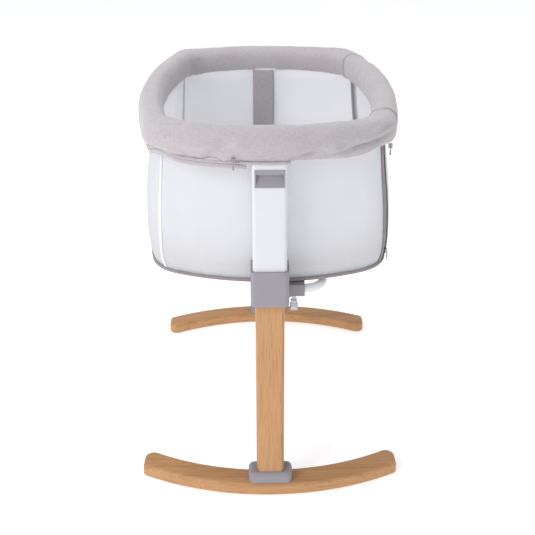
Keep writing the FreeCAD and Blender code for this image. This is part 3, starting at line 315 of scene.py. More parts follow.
def ramp(tree, factor, stops):
    """Colour ramp through (place, colour) stops."""
    made = node(tree, "ShaderNodeValToRGB")
    elements = made.color_ramp.elements
    while len(elements) < len(stops):
        elements.new(0.5)
    for element, (place, colour) in zip(elements, stops):
        element.position = place
        element.color = (*colour, 1)
    tree.links.new(factor, made.inputs["Fac"])
    return made.outputs["Color"]


def blend_colours(tree, factor, first, second, mode="MIX"):
    mix = node(tree, "ShaderNodeMix", data_type="RGBA", blend_type=mode)
    for socket, value in ((mix.inputs[0], factor), (mix.inputs[6], first), (mix.inputs[7], second)):
        if isinstance(value, (int, float)):
            socket.default_value = value
        elif isinstance(value, tuple):
            socket.default_value = (*value, 1)
        else:
            tree.links.new(value, socket)
    return mix.outputs[2]


def arithmetic(tree, operation, first, second):
    made = node(tree, "ShaderNodeMath", operation=operation)
    for socket, value in zip(made.inputs, (first, second)):
        if isinstance(value, (int, float)):
            socket.default_value = value
        else:
            tree.links.new(value, socket)
    return made.outputs[0]


def bump(tree, shader, height, strength, distance):
    made = node(tree, "ShaderNodeBump")
    made.inputs["Strength"].default_value = strength
    made.inputs["Distance"].default_value = distance
    tree.links.new(height, made.inputs["Height"])
    tree.links.new(made.outputs["Normal"], shader.inputs["Normal"])


def threads(tree, vector, direction, fineness):
    """Parallel threads across a direction."""
    wave = node(tree, "ShaderNodeTexWave", wave_type="BANDS", bands_direction=direction)
    wave.inputs["Scale"].default_value = fineness / 10
    wave.inputs["Distortion"].default_value = 0.6
    wave.inputs["Detail"].default_value = 1.0
    tree.links.new(vector, wave.inputs["Vector"])
    return wave.outputs["Fac"]


def heather_cloth(name, dark, light, cloth=True, weave=900, sheen=0.35):
    """Melange plain weave: two thread directions, each with its own streaks of colour."""
    material, tree, shader = new_material(name, light, 0.88, Sheen_Weight=sheen, Sheen_Roughness=0.5,
                                          Specular_IOR_Level=0.25)
    plain = coordinates(tree, (1, 1, 1), cloth)
    warp = noise_at(tree, coordinates(tree, (1500, 90, 300), cloth), 1.0, 2)
    weft = noise_at(tree, coordinates(tree, (90, 1500, 300), cloth), 1.0, 2)
    patches = noise_at(tree, plain, 9.0, 3)
    streaks = arithmetic(tree, "ADD", warp, weft)
    streaks = arithmetic(tree, "MULTIPLY", streaks, 0.5)
    between = tuple((a + b) / 2 for a, b in zip(dark, light))
    colour = ramp(tree, streaks, ((0.36, dark), (0.50, between), (0.62, light)))
    shade = ramp(tree, patches, ((0.3, (0.93, 0.93, 0.93)), (0.7, (1.0, 1.0, 1.0))))
    colour = blend_colours(tree, 1.0, colour, shade, "MULTIPLY")
    tree.links.new(colour, shader.inputs["Base Color"])
    fine = arithmetic(tree, "MAXIMUM", threads(tree, plain, "X", weave),
                      threads(tree, plain, "Y", weave))
    height = arithmetic(tree, "ADD", fine, arithmetic(tree, "MULTIPLY", streaks, 0.6))
    bump(tree, shader, height, 0.35, 0.0004)
    return material


def knit_mesh(name, colour, cloth=True):
    """Fine spacer mesh that lets light through: small eyelets in rows, and soft level ribs."""
    material, tree, shader = new_material(name, colour, 0.78, Sheen_Weight=0.2, Specular_IOR_Level=0.3)
    vector = coordinates(tree, (480, 640, 480), cloth)
    cells = node(tree, "ShaderNodeTexVoronoi", feature="F1")
    cells.inputs["Scale"].default_value = 1.0
    cells.inputs["Randomness"].default_value = 0.12
    tree.links.new(vector, cells.inputs["Vector"])
    eyelets = cells.outputs["Distance"]
    dark = tuple(channel * 0.80 for channel in colour)
    base = ramp(tree, eyelets, ((0.10, dark), (0.42, colour), (1.0, colour)))
    soft = ramp(tree, noise_at(tree, coordinates(tree, (1, 1, 1), cloth), 7.0, 2),
                ((0.3, (0.965, 0.965, 0.97)), (0.7, (1, 1, 1))))
    colour = blend_colours(tree, 1.0, base, soft, "MULTIPLY")
    tree.links.new(colour, shader.inputs["Base Color"])
    ribs = threads(tree, coordinates(tree, (1, 1, 1), cloth), "Y", 170)
    bump(tree, shader, arithmetic(tree, "ADD", eyelets, ribs), 0.4, 0.0005)
    through = node(tree, "ShaderNodeBsdfTranslucent")
    tree.links.new(colour, through.inputs["Color"])
    mix = node(tree, "ShaderNodeMixShader")
    mix.inputs["Fac"].default_value = 0.42
    tree.links.new(shader.outputs["BSDF"], mix.inputs[1])
    tree.links.new(through.outputs["BSDF"], mix.inputs[2])
    tree.links.new(mix.outputs["Shader"], tree.nodes["Material Output"].inputs["Surface"])
    return material


def beech(name, grain):
    """Straight-grained oiled beech. grain is the coordinates' scale, small along the grain."""
    material, tree, shader = new_material(name, (0.50, 0.27, 0.12), 0.45,
                                          Coat_Weight=0.15, Coat_Roughness=0.3)
    vector = coordinates(tree, grain)
    rings = noise_at(tree, vector, 1.0, 4, 0.6, 0.8)
    fleck_scale, pore_scale = (tuple(finer * value for value in grain) for finer in (8, 22))
    flecks = noise_at(tree, coordinates(tree, fleck_scale), 1.0, 2, 0.5)
    pores = noise_at(tree, coordinates(tree, pore_scale), 1.0, 1)
    colour = ramp(tree, rings, ((0.30, (0.440, 0.208, 0.075)), (0.45, (0.510, 0.262, 0.105)),
                                (0.56, (0.550, 0.292, 0.124)), (0.72, (0.485, 0.240, 0.092))))
    rays = ramp(tree, flecks, ((0.40, (0.86, 0.80, 0.72)), (0.47, (1, 1, 1)), (1.0, (1, 1, 1))))
    colour = blend_colours(tree, 0.8, colour, rays, "MULTIPLY")
    tree.links.new(colour, shader.inputs["Base Color"])
    rough = ramp(tree, pores, ((0.3, (0.52,) * 3), (0.7, (0.36,) * 3)))
    tree.links.new(rough, shader.inputs["Roughness"])
    bump(tree, shader, arithmetic(tree, "ADD", rings, pores), 0.10, 0.0006)
    return material


def moulded(name, colour, roughness, grain=0.5, **sockets):
    """Moulded plastic with a fine spark-eroded texture and slight uneven gloss."""
    material, tree, shader = new_material(name, colour, roughness, **sockets)
    vector = coordinates(tree, (1, 1, 1))
    speck = noise_at(tree, vector, 1400.0, 2)
    flow = noise_at(tree, vector, 14.0, 2)
    shade = ramp(tree, flow, ((0.3, tuple(channel * 0.965 for channel in colour)), (0.7, colour)))
    tree.links.new(shade, shader.inputs["Base Color"])
    rough = ramp(tree, flow, ((0.3, (roughness * 0.88,) * 3), (0.7, (min(1, roughness * 1.12),) * 3)))
    tree.links.new(rough, shader.inputs["Roughness"])
    bump(tree, shader, speck, 0.12 * grain, 0.0002)
    return material


def metal(name, colour, roughness, metallic=1.0):
    """Drawn metal with fine scratches along Z."""
    material, tree, shader = new_material(name, colour, roughness, Metallic=metallic)
    lines = noise_at(tree, coordinates(tree, (900, 900, 40)), 1.0, 3)
    shade = ramp(tree, lines, ((0.3, tuple(channel * 0.86 for channel in colour)), (0.7, colour)))
    tree.links.new(shade, shader.inputs["Base Color"])
    rough = ramp(tree, lines, ((0.3, (roughness * 0.75,) * 3), (0.7, (roughness * 1.3,) * 3)))
    tree.links.new(rough, shader.inputs["Roughness"])
    bump(tree, shader, lines, 0.08, 0.0001)
    return material


MAUVE_DARK, MAUVE_LIGHT = (0.405, 0.370, 0.392), (0.560, 0.522, 0.548)
rim_cloth = heather_cloth("rim_melange", MAUVE_DARK, MAUVE_LIGHT)
strap_cloth = heather_cloth("strap_melange", (0.330, 0.296, 0.325), (0.450, 0.412, 0.442))
trim_cloth = heather_cloth("trim_melange", (0.245, 0.215, 0.222), (0.360, 0.322, 0.332), cloth=False)
floor_cloth = heather_cloth("floor_melange", (0.300, 0.285, 0.300), (0.420, 0.400, 0.415),
                            cloth=False)
wall_cloth = knit_mesh("wall_mesh", (0.900, 0.910, 0.945))
seam_cloth = heather_cloth("seam_tape", (0.74, 0.75, 0.78), (0.86, 0.87, 0.89), weave=700)
sheet_cloth = heather_cloth("mattress_cover", (0.74, 0.74, 0.76), (0.87, 0.87, 0.88), weave=1100,
                            sheen=0.15)
leg_wood = beech("leg_beech", (46, 46, 2.2))
foot_wood = beech("foot_beech", (2.6, 46, 46))
board_wood = beech("board_fibre", (120, 120, 120))
white_plastic = moulded("white_plastic", (0.700, 0.710, 0.742), 0.34,
                        Coat_Weight=0.1, Coat_Roughness=0.25)
grey_plastic = moulded("grey_plastic", (0.305, 0.284, 0.322), 0.50)
black_plastic = moulded("black_plastic", (0.020, 0.020, 0.022), 0.50)
clear_plastic = moulded("clear_plastic", (0.80, 0.82, 0.85), 0.16,
                        Transmission_Weight=0.55, IOR=1.46)
white_tube = moulded("white_lacquer", (0.80, 0.81, 0.83), 0.30,
                     Coat_Weight=0.3, Coat_Roughness=0.15)
grey_tube = moulded("grey_lacquer", (0.17, 0.17, 0.18), 0.40, Coat_Weight=0.2, Coat_Roughness=0.2)
steel = metal("zinc_steel", (0.62, 0.62, 0.64), 0.32)
pull_metal = metal("pull_nickel", (0.36, 0.34, 0.34), 0.32)
rubber = moulded("rubber", (0.030, 0.030, 0.032), 0.75)
zip_dark = moulded("zip_coil", (0.130, 0.116, 0.120), 0.55)

SLOT_MATERIALS = {
    "rim_fabric": trim_cloth, "mesh_fabric": wall_cloth, "grey_trim": trim_cloth,
    "floor_cloth": floor_cloth, "mattress_cloth": sheet_cloth, "fibreboard": board_wood,
    "white_plastic": white_plastic, "grey_plastic": grey_plastic, "black_plastic": black_plastic,
    "beech": leg_wood, "steel": steel, "white_tube": white_tube, "grey_tube": grey_tube,
    "pull_metal": pull_metal, "clear_plastic": clear_plastic, "rubber_pad": rubber,
}


def paint(piece, material):
    piece.data.materials.clear()
    piece.data.materials.append(material)
    return piece


for subpart in frame["record"]["subparts"]:
    cad_node = frame["nodes"][subpart["node"]]
    chosen = foot_wood if subpart["node"].endswith("_foot") else SLOT_MATERIALS[subpart["material_slot"]]
    paint(cad_node, chosen)


def place(piece, material, body, slot, *replaced):
    """Finish a piece: its material, the body it moves with and the CAD nodes it stands for. slot is not
    used.
    """
    paint(piece, material)
    if body:
        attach(piece, body)
    if replaced:
        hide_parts(*replaced)
    return piece


# ---------------------------------------------------------------- padded rim

# Creases pressed into the padding of each end: start and end as (across, height above the
# padding's bottom), width and depth. Beside each crease the padding stands up in a soft lip.
CREASES = (
    ((-0.072, 0.036), (-0.112, 0.010), 0.011, 0.0085),
    ((-0.108, 0.012), (-0.190, 0.020), 0.010, 0.0050),
    ((0.044, 0.006), (0.110, 0.026), 0.0075, 0.0085),
    ((0.078, 0.006), (0.170, 0.022), 0.0065, 0.0070),
    ((0.125, 0.030), (0.220, 0.020), 0.0080, 0.0050),
    ((0.120, 0.006), (0.225, 0.034), 0.0060, 0.0050),
)
LIP_SHARE, LIP_OFF = 0.45, 1.8      # of the crease's depth, and in widths from its middle


def crease_depth(across, height):
    """How far the creases press the padding in at a place on an end's outer face."""
    depth = 0.0
    for (x0, z0), (x1, z1), width, deepest in CREASES:
        line = Vector((x1 - x0, z1 - z0))
        share = max(0.0, min(1.0, Vector((across - x0, height - z0)).dot(line) / line.length_squared))
        nearest = Vector((x0, z0)) + share * line
        gap = math.hypot(across - nearest.x, height - nearest.y)
        fade = math.sin(math.pi * (0.12 + 0.76 * share))
        pressed = math.exp(-(gap / width) ** 2)
        raised = LIP_SHARE * math.exp(-((gap - LIP_OFF * width) / width) ** 2)
        depth += deepest * fade * (pressed - raised)
    return depth


CORNER_PUFF = 0.007     # how far the padding bulges outwards at the four corners
CORNER_LIFT = 0.013     # how far its bottom edge rises there
CORNER_SAG = 0.020      # how far its inner lower side hangs down there
SKIN_INSET = 0.0016     # room kept inside the CAD padding for the unevenness of the cloth
SKIN_SINK = 0.0010
JOINT_GROOVE, GROOVE_WIDTH = 0.0030, 0.0035     # where the folding side's padding ends
SKIRT_HALF_WIDTH = 0.055    # of the padding that hangs straight down over each column
COLUMN_END = 0.4            # the columns are further out along Y than this
CREASE_END = 0.33           # and so are the creases


def waver(amount, *spot):
    """Smooth noise of a given amount at a spot."""
    return amount * noise.noise(Vector(spot))


def over_column(x, y):
    """1 where the padding hangs over a column, falling to 0 beside it."""
    return math.exp(-(x / SKIRT_HALF_WIDTH) ** 4) if abs(y) > COLUMN_END else 0.0


def rim_surface(samples=720, around=64):
    """Rows of the padding's skin: one row per step round the section."""
    outer, normals = oval(RIM_HALF_WIDTH + PAD_SIDE, RIM_HALF_LENGTH + PAD_END, PAD_SIDE, samples)
    inner, _ = oval(RIM_HALF_WIDTH - PAD_SIDE, RIM_HALF_LENGTH - PAD_END_INWARD, -PAD_SIDE, samples)
    corner = cornerness(normals)
    middle, half = (outer + inner) / 2, np.linalg.norm(outer - inner, axis=1) / 2
    length = np.concatenate([[0], np.cumsum(np.linalg.norm(np.diff(middle, axis=0), axis=1))])
    bottom = PAD_BOTTOM + CORNER_LIFT * corner
    rows = []
    for step in range(around):
        turn = TAU * step / around
        cos, sin = math.cos(turn), math.sin(turn)
        up = math.copysign(abs(sin) ** 0.86, sin)
        row = []
        for index, (x, y) in enumerate(middle):
            nx, ny = normals[index]
            skirt = over_column(x, y) if cos > 0 and sin < 0 else 0.0
            power = 0.80 if sin > 0 else 0.62 - 0.50 * skirt
            out = math.copysign(abs(cos) ** power, cos)
            centre_z = (PAD_TOP + bottom[index]) / 2
            tall = (PAD_TOP - bottom[index]) / 2
            reach = half[index] * out - SKIN_INSET
            z = centre_z + tall * up * 0.985
            if cos < 0 and sin < 0:
                z -= CORNER_SAG * corner[index] * math.sqrt(cos * sin)
            s = length[index]
            calm = min(1.0, abs(x) / 0.060)
            swell = waver(0.0016, x * 13, y * 13, z * 16)
            ripple = waver(0.0013, s * 34, turn * 1.1, 3.7)
            pleat = corner[index] * (0.5 - 0.5 * cos) * waver(0.0022, s * 95, turn * 0.8, 9.1)
            lower = max(0.0, -sin) * (0.4 + 0.6 * max(0, cos))
            tuck = calm * lower * waver(0.0016, s * 70, 5.0, turn)
            press = 0.0
            if cos > 0 and abs(y) > CREASE_END:
                across = x if y < 0 else -x
                press = crease_depth(across, z - bottom[index]) * min(1.0, 2 * cos)
            joint = 0.0
            if x > 0:
                joint = JOINT_GROOVE * math.exp(-((abs(y) - SPLIT_Y) / GROOVE_WIDTH) ** 2)
            puff = corner[index] * CORNER_PUFF * max(0.0, cos)
            move = calm * (swell + ripple) + puff + pleat + tuck - press - joint - SKIN_SINK
            reach += move * (cos if abs(cos) > 0.2 else 0.2 * (1 if cos >= 0 else -1))
            z += move * sin
            z = min(z, PAD_TOP + 0.002)
            row.append((x + nx * reach, y + ny * reach, z))
        rows.append(row)
    return rows


def make_rim(whole):
    """Padded cover of the fixed rim, and of the rail that folds down with the side."""
    fixed = lattice("rim_cover", whole, closed_u=True, closed_v=True)
    gap = 0.0006
    drop_faces(fixed, (-SPLIT_Y - gap, SPLIT_Y + gap), lambda c: c.x > 0 and abs(c.y) < SPLIT_Y + gap)
    close_ends(fixed)
    place(fixed, rim_cloth, "basket", "rim_fabric", "rim_pad")
    moving = lattice("side_rail_cover", whole, closed_u=True, closed_v=True)
    limit = SPLIT_Y - gap
    drop_faces(moving, (-limit, limit), lambda c: c.x < 0 or abs(c.y) > limit)
    close_ends(moving)
    place(moving, rim_cloth, "drop_side", "rim_fabric", "drop_rail_pad")


def open_run(points, keep):
    """The longest unbroken run of the points that keep picks, in order round the ring."""
    count = len(points)
    start = next(index for index in range(count) if keep(points[index]) and not keep(points[index - 1]))
    run = []
    while keep(points[(start + len(run)) % count]) and len(run) < count:
        run.append((start + len(run)) % count)
    return run


TRIM_INSET = 0.013      # from the padding's side to the line of trim under it
EDGE_FROM, ZIP_FROM = 0.042, -0.045     # X where the edge cord and the zip under the cover begin
# Section of the binding beside the zip: drop below the padding, and shift outwards.
BINDING = ((0.0026, -0.0018), (0.0036, 0.0006), (0.0060, 0.0012), (0.0090, 0.0008),
           (0.0108, -0.0012))


def make_rim_trim(whole):
    """Hem of the cover's opening round the left half with its closed zip and binding, and the
    seams across the padding beside the folding side."""
    ring, normals = oval(RIM_HALF_WIDTH + PAD_SIDE - TRIM_INSET, RIM_HALF_LENGTH + PAD_END - TRIM_INSET,
                         PAD_SIDE - TRIM_INSET, 720)
    bottom = PAD_BOTTOM + CORNER_LIFT * cornerness(normals)
    hem = []
    for i in open_run(ring, lambda point: point[0] < EDGE_FROM):
        over = over_column(*ring[i])
        foot = Vector((*ring[i], bottom[i] + 0.0006 + 0.0020 * over))
        hem.append(foot + Vector((*normals[i], 0)) * 0.0105 * over)
    place(tube_along("rim_edge_cord", hem, 0.0030), rim_cloth, "basket", "rim_fabric")
    run = open_run(ring, lambda point: point[0] < ZIP_FROM)
    base = [Vector((*ring[i], bottom[i])) for i in run]
    out = [Vector((*normals[i], 0)) for i in run]
    coil = tube_along("rim_zip_coil", [point - Vector((0, 0, 0.0032)) for point in base], 0.0011, 8)
    place(coil, zip_dark, "basket", "grey_trim")
    tape = [[point + normal * lift - Vector((0, 0, drop)) for point, normal in zip(base, out)]
            for drop, lift in BINDING]
    place(thicken(lattice("rim_binding", tape), 0.0012), rim_cloth, "basket", "rim_fabric")
    for end, sign in (("front", -1), ("rear", 1)):
        for gap, body in ((0.0045, "basket"), (-0.0045, "drop_side")):
            section_seam(whole, f"rim_seam_{end}_{body}", sign * (SPLIT_Y + gap), body)


def section_seam(whole, name, y, body):
    """Raised seam round the padding's section where a panel of its cover ends."""
    lift, radius = 0.0006, 0.0010
    points = []
    for row in whole:
        near = [point for point in row if point[0] > 0 and point[1] * y > 0]
        points.append(min(near, key=lambda point: abs(point[1] - y)))
    middle = Vector(np.mean(points, axis=0))
    lifted = [Vector(point) + (Vector(point) - middle).normalized() * lift for point in points]
    place(tube_along(name, lifted, radius, 6, closed=True), rim_cloth, body, "rim_fabric")


# ---------------------------------------------------------------- mesh walls

WALL_SINK = 0.0006      # the mesh lies this far behind the CAD walls' outer face


def wall_rows(steps=48):
    """Rows of the walls' skin from hem to rim: slack half way up, and puckered at the hem."""
    rows = []
    for height in np.linspace(WALL_FOOT, WALL_TOP, steps):
        ring, normals = wall_ring(height)
        rise = (height - HEM_Z) / (WALL_TOP - HEM_Z)
        between = math.sin(math.pi * min(1, max(0, rise)))
        row = []
        for (x, y), (nx, ny) in zip(ring, normals):
            slack = waver(0.0016, x * 9, y * 9, height * 7) * between
            pucker = waver(0.0009, x * 60, y * 60, height * 5) * (1 - rise) ** 2
            move = slack + pucker - WALL_SINK
            row.append((x + nx * move, y + ny * move, height))
        rows.append(row)
    return rows


PANELS = {
    "front_wall_panel": ("front_mesh_wall", lambda c: c.y > -SPLIT_Y),
    "rear_wall_panel": ("rear_mesh_wall", lambda c: c.y < SPLIT_Y),
    "left_wall_panel": ("left_mesh_wall", lambda c: c.x > 0 or abs(c.y) > SPLIT_Y),
}


def make_walls():
    """Three fixed panels that move with the basket, and the fourth, of the folding side, which is left
    on no body.
    """
    rows = wall_rows()
    for name, (cad_name, unwanted) in PANELS.items():
        panel = lattice(name, rows, closed_u=True)
        drop_faces(panel, (-SPLIT_Y, SPLIT_Y), unwanted)
        place(panel, wall_cloth, "basket", "mesh_fabric", cad_name)
    side = lattice("side_wall_panel", rows, closed_u=True)
    limit = SPLIT_Y - 0.0015
    drop_faces(side, (-limit, limit), lambda c: c.x < 0 or abs(c.y) > limit)
    place(side, wall_cloth, None, "mesh_fabric", "drop_side_mesh")
    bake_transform(side)


def wall_point(y, height, side=1, off=0.0):
    """Point of the wall's outer face on one side of the basket at a place along it."""
    ring, _ = wall_ring(height, off)
    half = ring[ring[:, 0] * side > 0]
    order = np.argsort(half[:, 1])
    return Vector((float(np.interp(y, half[order, 1], half[order, 0])), y, height))


def wall_ribbon(name, centre_y, width, side=1, off=0.0014, high=PAD_BOTTOM + 0.002, crown=0.0006):
    """Ribbon standing on the wall from hem to rim, slightly crowned across."""
    columns = []
    for height in np.linspace(WALL_FOOT, high, 60):
        row = []
        for share in np.linspace(-0.5, 0.5, 7):
            lift = off + crown * (1 - (2 * share) ** 2)
            row.append(wall_point(centre_y + share * width, height, side, lift))
        columns.append(row)
    return thicken(lattice(name, columns), 0.0009)


TOOTH_FACES = ((0, 3, 2, 1), (4, 5, 6, 7), (0, 1, 5, 4), (1, 2, 6, 5), (2, 3, 7, 6), (3, 0, 4, 7))


def zip_teeth(name, y, low, high, off=0.0030):
    """One half of a zip: a row of small tapered teeth up the wall."""
    pitch = 0.0022
    half_x, half_y, half_z = 0.0008, 0.0011, 0.00065
    count = int((high - low) / pitch)
    vertices, faces = [], []
    for index in range(count):
        height = low + (index + 0.5) * pitch
        centre = wall_point(y, height, 1, off)
        base = len(vertices)
        for dx in (-1, 1):
            for dy, dz in ((-1, -1), (1, -1), (1, 1), (-1, 1)):
                shrink = 0.75 if dx > 0 else 1.0
                vertices.append((centre.x + dx * half_x, centre.y + dy * half_y * shrink,
                                 centre.z + dz * half_z * shrink))
        faces += [tuple(base + corner for corner in face) for face in TOOTH_FACES]
    return link_mesh(name, vertices, faces, smooth=False)


def make_zips():
    """Zips down both corners of the folding side, and the plain seams of the other side."""
    low, high = HEM_Z + 0.006, PAD_BOTTOM
    for end, sign in (("front", -1), ("rear", 1)):
        edge = sign * SPLIT_Y
        fixed = wall_ribbon(f"corner_zip_tape_{end}", edge + sign * 0.0065, 0.0095)
        place(fixed, trim_cloth, "basket", "grey_trim", *(["corner_zip_tapes"] if sign < 0 else []))
        moving = wall_ribbon(f"side_zip_tape_{end}", edge - sign * 0.0060, 0.0085)
        place(moving, trim_cloth, None, "grey_trim", *(["drop_zip_tapes"] if sign < 0 else []))
        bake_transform(moving)
        teeth = zip_teeth(f"corner_zip_teeth_{end}", edge + sign * 0.0016, low, high)
        place(teeth, zip_dark, "basket", "grey_trim")
        teeth = zip_teeth(f"side_zip_teeth_{end}", edge - sign * 0.0016, low + 0.0011, high)
        place(teeth, zip_dark, None, "grey_trim")
        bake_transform(teeth)
        path = [wall_point(edge + sign * 0.012, height, 1, 0.0015)
                for height in np.linspace(low, high, 40)]
        welt = tube_along(f"corner_welt_{end}", path, 0.0022, 8)
        place(welt, trim_cloth, "basket", "grey_trim")
        seam = wall_ribbon(f"left_seam_{end}", edge * 1.10, 0.0060, side=-1, off=0.0002, crown=0.0003)
        place(seam, seam_cloth, "basket", "mesh_fabric")
        facing = wall_ribbon(f"corner_facing_{end}", edge + sign * 0.0040, 0.0070, off=-0.0052,
                             high=WALL_TOP)
        place(facing, trim_cloth, "basket", "grey_trim")


def make_wall_straps():
    """Padded straps that cover the column fixings on the inside of each end."""
    strap_low, strap_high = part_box("wall_straps")
    for end, sign in (("front", -1), ("rear", 1)):
        rows = []
        for height in np.linspace(strap_low.z, WALL_TOP, 40):
            ring, _ = wall_ring(height, -0.0030)
            half = ring[ring[:, 1] * sign > 0]
            order = np.argsort(half[:, 0])
            row = []
            for share in np.linspace(0, 1, 15):
                x = strap_low.x + share * (strap_high.x - strap_low.x)
                y = float(np.interp(x, half[order, 0], half[order, 1]))
                rib = 0.0008 * (1 - (2 * share - 1) ** 6)
                hem = 0.0005 * math.exp(-((min(share, 1 - share) - 0.07) / 0.03) ** 2)
                row.append((x, y - sign * (rib + hem), height))
            rows.append(row)
        strap = thicken(lattice(f"wall_strap_{end}", rows), 0.0012 * sign)
        place(strap, strap_cloth, "basket", "grey_trim", *(["wall_straps"] if sign < 0 else []))


# ---------------------------------------------------------------- mattress

QUILT_PITCH, QUILT_DEPTH = 0.075, 0.0013
# Section of the mattress: share of its plan, and height over its underside.
MATTRESS_EDGE = [(0.0, 0.0), (0.45, 0.0), (0.80, 0.0), (0.93, 0.0005), (0.975, 0.004), (0.994, 0.011),
                 (1.0, 0.020), (0.994, 0.029), (0.975, 0.0355)]


def make_mattress():
    """Thin quilted mattress in a fitted cover, with a piped edge."""
    ring, _ = oval(bed_high.x, bed_high.y, -0.033, 280)
    profile = MATTRESS_EDGE + [(share, 0.0385) for share in np.linspace(0.95, 0.02, 46)]
    rows = []
    for share, rise in profile:
        row = []
        for x, y in ring * (0.9985 * max(share, 0.001)):
            z = bed_low.z + rise
            if rise > 0.036:
                one, other = (abs(math.sin(math.pi * way / QUILT_PITCH)) for way in (x + y, x - y))
                edge = 1 - float(smooth_step(share, 0.90, 0.96))
                z += QUILT_DEPTH * edge * ((one * other) ** 0.35 - 1) + 0.0012
            row.append((x, y, min(z, bed_high.z)))
        rows.append(row)
    pad = lattice("mattress_pad", rows, closed_u=True)
    edit(pad, lambda bm: bmesh.ops.remove_doubles(bm, verts=bm.verts[:], dist=0.0004))
    close_ends(pad)
    place(pad, sheet_cloth, "mattress_body", "mattress_cloth", "mattress")
    piped = [(x * 0.9905, y * 0.994, bed_low.z + 0.034) for x, y in ring]
    piping = tube_along("mattress_piping", piped, 0.0016, 8, closed=True)
    place(piping, sheet_cloth, "mattress_body", "mattress_cloth")


# ---------------------------------------------------------------- small metal and plastic parts

# Half of a zip pull's outline from the top down, as shares of its half width and half height.
PULL_OUTLINE = [(0.35, 1.0), (0.45, 0.80), (0.55, 0.45), (0.9, 0.15), (1.0, -0.45), (0.85, -0.85),
                (0.45, -1.0)]


def make_pulls():
    """Zip pulls: a tapered plate with softened edges, and the slider above it."""
    for name, flat_axis in (("rim_zip_pull", "y"), ("side_zip_pull", "y"), ("wall_zip_pull", "x")):
        low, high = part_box(name)
        centre = (low + high) / 2
        width = (high.x - low.x if flat_axis == "y" else high.y - low.y) / 2
        thick = (high.y - low.y if flat_axis == "y" else high.x - low.x) / 2
        outline = PULL_OUTLINE + [(-x, z) for x, z in reversed(PULL_OUTLINE)]
        tall = (high.z - low.z) / 2
        points = []
        for depth, slim, short in ((-1, 0.86, 0.97), (-0.6, 1, 1), (0.6, 1, 1), (1, 0.86, 0.97)):
            points.append([(x * width * slim, depth * thick, z * tall * short) for x, z in outline])
        rows = [[(centre.x + x, centre.y + y, centre.z + z) if flat_axis == "y" else
                 (centre.x + y, centre.y + x, centre.z + z) for x, y, z in row] for row in points]
        pull = lattice(name.replace("_zip_pull", "_pull"), rows, closed_u=True, smooth=False)
        close_ends(pull)
        place(pull, pull_metal, name + "_body", "pull_metal", name)
        if flat_axis == "y":
            slider_size, inward = Vector((0.0042, 0.0022, 0.0050)), Vector((0, 0.0030, 0.002))
        else:
            slider_size, inward = Vector((0.0022, 0.0042, 0.0050)), Vector((-0.0030, 0, 0.002))
        seat = Vector((centre.x, centre.y, high.z)) + inward
        slider = round_box(name.replace("_zip_pull", "_slider"), seat - slider_size,
                           seat + slider_size, 0.0009)
        place(slider, pull_metal, "basket", "pull_metal")


def make_scoops():
    """Shallow curved floor of each finger scoop, under the trigger's bar."""
    low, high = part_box("front_latch_bezel")
    half, bottom, top = high.x - 0.0031, low.z + 0.0032, low.z + 0.0225
    lip, slope = 0.0003, 0.0076     # set-back of the floor's lower edge, and how much more higher up
    for end, sign in (("front", 1), ("rear", -1)):
        rows = []
        for share in np.linspace(0, 1, 14):
            z = bottom + share * (top - bottom)
            depth = lip + slope * float(smooth_step(share, 0.0, 1.0))
            rows.append([(sign * x, sign * (low.y + depth), z) for x in np.linspace(-half, half, 25)])
        place(lattice(f"{end}_scoop_floor", rows), grey_plastic, "basket", "grey_plastic")


def make_buckle():
    """Clear side-release buckle that hangs on a short webbing loop."""
    low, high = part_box("strap_buckle")
    centre = (low + high) / 2
    body_top = high.z - 0.008
    shell = round_box("buckle_shell", low, (high.x, high.y, body_top - 0.010), 0.0022)
    place(shell, clear_plastic, "buckle_body", "clear_plastic", "strap_buckle")
    collar = round_box("buckle_bar", (low.x + 0.0015, low.y + 0.001, body_top - 0.0115),
                       (high.x - 0.0015, high.y - 0.001, body_top), 0.0018)
    place(collar, clear_plastic, "buckle_body", "clear_plastic")
    for sign in (-1, 1):
        x = centre.x + sign * (high.x - low.x) * 0.40
        prong = round_box(f"buckle_prong_{'left' if sign < 0 else 'right'}",
                          (x - 0.0016, low.y + 0.0008, low.z + 0.004),
                          (x + 0.0016, high.y - 0.0008, body_top - 0.009), 0.0012)
        place(prong, clear_plastic, "buckle_body", "clear_plastic")
    loop_foot = body_top - 0.006
    rows = []
    for angle in np.linspace(0, TAU, 25)[:-1]:
        z = (high.z + loop_foot) / 2 + math.sin(angle) * (high.z - loop_foot) / 2
        y = centre.y + math.cos(angle) * 0.0009
        rows.append([(centre.x + share * 0.0095, y, z) for share in np.linspace(-0.5, 0.5, 5)])
    loop = lattice("buckle_webbing", rows, closed_v=True)
    place(loop, seam_cloth, "buckle_body", "clear_plastic")


# ---------------------------------------------------------------- stage

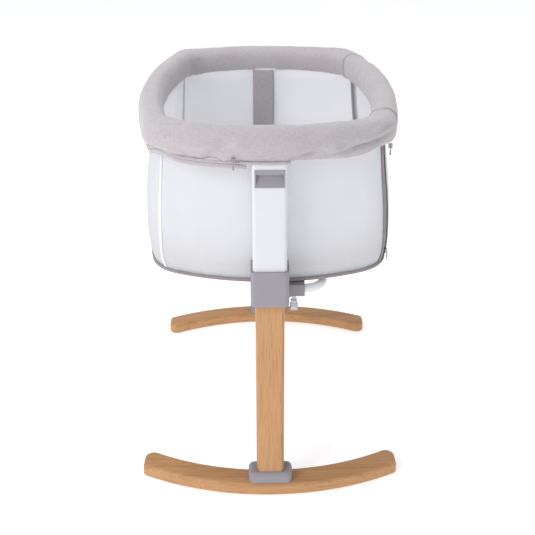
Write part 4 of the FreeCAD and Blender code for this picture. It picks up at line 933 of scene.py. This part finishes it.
def make_stage():
    """White floor, pale sky and two soft lamps."""
    reach = 60
    corners = [(-reach, -reach, 0), (reach, -reach, 0), (reach, reach, 0), (-reach, reach, 0)]
    floor = link_mesh("floor", corners, [(0, 1, 2, 3)])
    material, tree, shader = new_material("floor_white", (0.93, 0.93, 0.93), 0.9, Specular_IOR_Level=0.0)
    shader.inputs["Emission Color"].default_value = (1, 1, 1, 1)
    shader.inputs["Emission Strength"].default_value = 0.42
    shade = ramp(tree, noise_at(tree, coordinates(tree, (1, 1, 1)), 0.8, 2),
                 ((0.3, (0.925, 0.925, 0.925)), (0.7, (0.935, 0.935, 0.935))))
    tree.links.new(shade, shader.inputs["Base Color"])
    paint(floor, material)
    world = bpy.data.worlds.new("studio")
    world.use_nodes = True
    sky = world.node_tree.nodes["Background"]
    sky.inputs["Color"].default_value = (0.97, 0.98, 1.0, 1)
    sky.inputs["Strength"].default_value = 0.62
    bpy.context.scene.world = world
    lamps = (("key", (-2.3, -2.8, 2.6), 60, 1.8), ("top", (-0.6, 0.4, 3.4), 30, 1.8))
    for name, spot, power, size in lamps:
        data = bpy.data.lights.new(name, "AREA")
        data.energy = power
        data.size = size
        lamp = bpy.data.objects.new(name, data)
        lamp.location = spot
        lamp.rotation_euler = (Vector((0, 0, 0.5)) - Vector(spot)).to_track_quat("-Z", "Y").to_euler()
        bpy.context.scene.collection.objects.link(lamp)


def make_camera():
    """Camera before the near end, looking down at the basket."""
    pitch, yaw, roll = 0.4151, 0.0107, 0.0036
    forward = Vector((math.sin(yaw) * math.cos(pitch), math.cos(yaw) * math.cos(pitch),
                      -math.sin(pitch)))
    level = Vector((math.cos(yaw), -math.sin(yaw), 0))
    down = forward.cross(level)
    right = level * math.cos(roll) + down * math.sin(roll)
    under = down * math.cos(roll) - level * math.sin(roll)
    data = bpy.data.cameras.new("camera")
    data.sensor_width = 36
    data.lens = 60.56
    camera = bpy.data.objects.new("camera", data)
    turn = Matrix((right, -under, -forward)).transposed().to_4x4()
    camera.matrix_world = Matrix.Translation((-0.0231, -2.1464, 1.314)) @ turn
    bpy.context.scene.collection.objects.link(camera)
    bpy.context.scene.camera = camera


def make_springs():
    """Give each trigger's coil spring a mesh of its own."""
    for end in ("front", "rear"):
        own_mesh(frame["nodes"][f"{end}_trigger_spring"])


make_camera()
make_stage()
make_springs()
padding = rim_surface()
make_rim(padding)
make_rim_trim(padding)
make_walls()
make_zips()
make_wall_straps()
make_mattress()
make_pulls()
make_scoops()
make_buckle()
bpy.context.scene.view_settings.view_transform = "Standard"
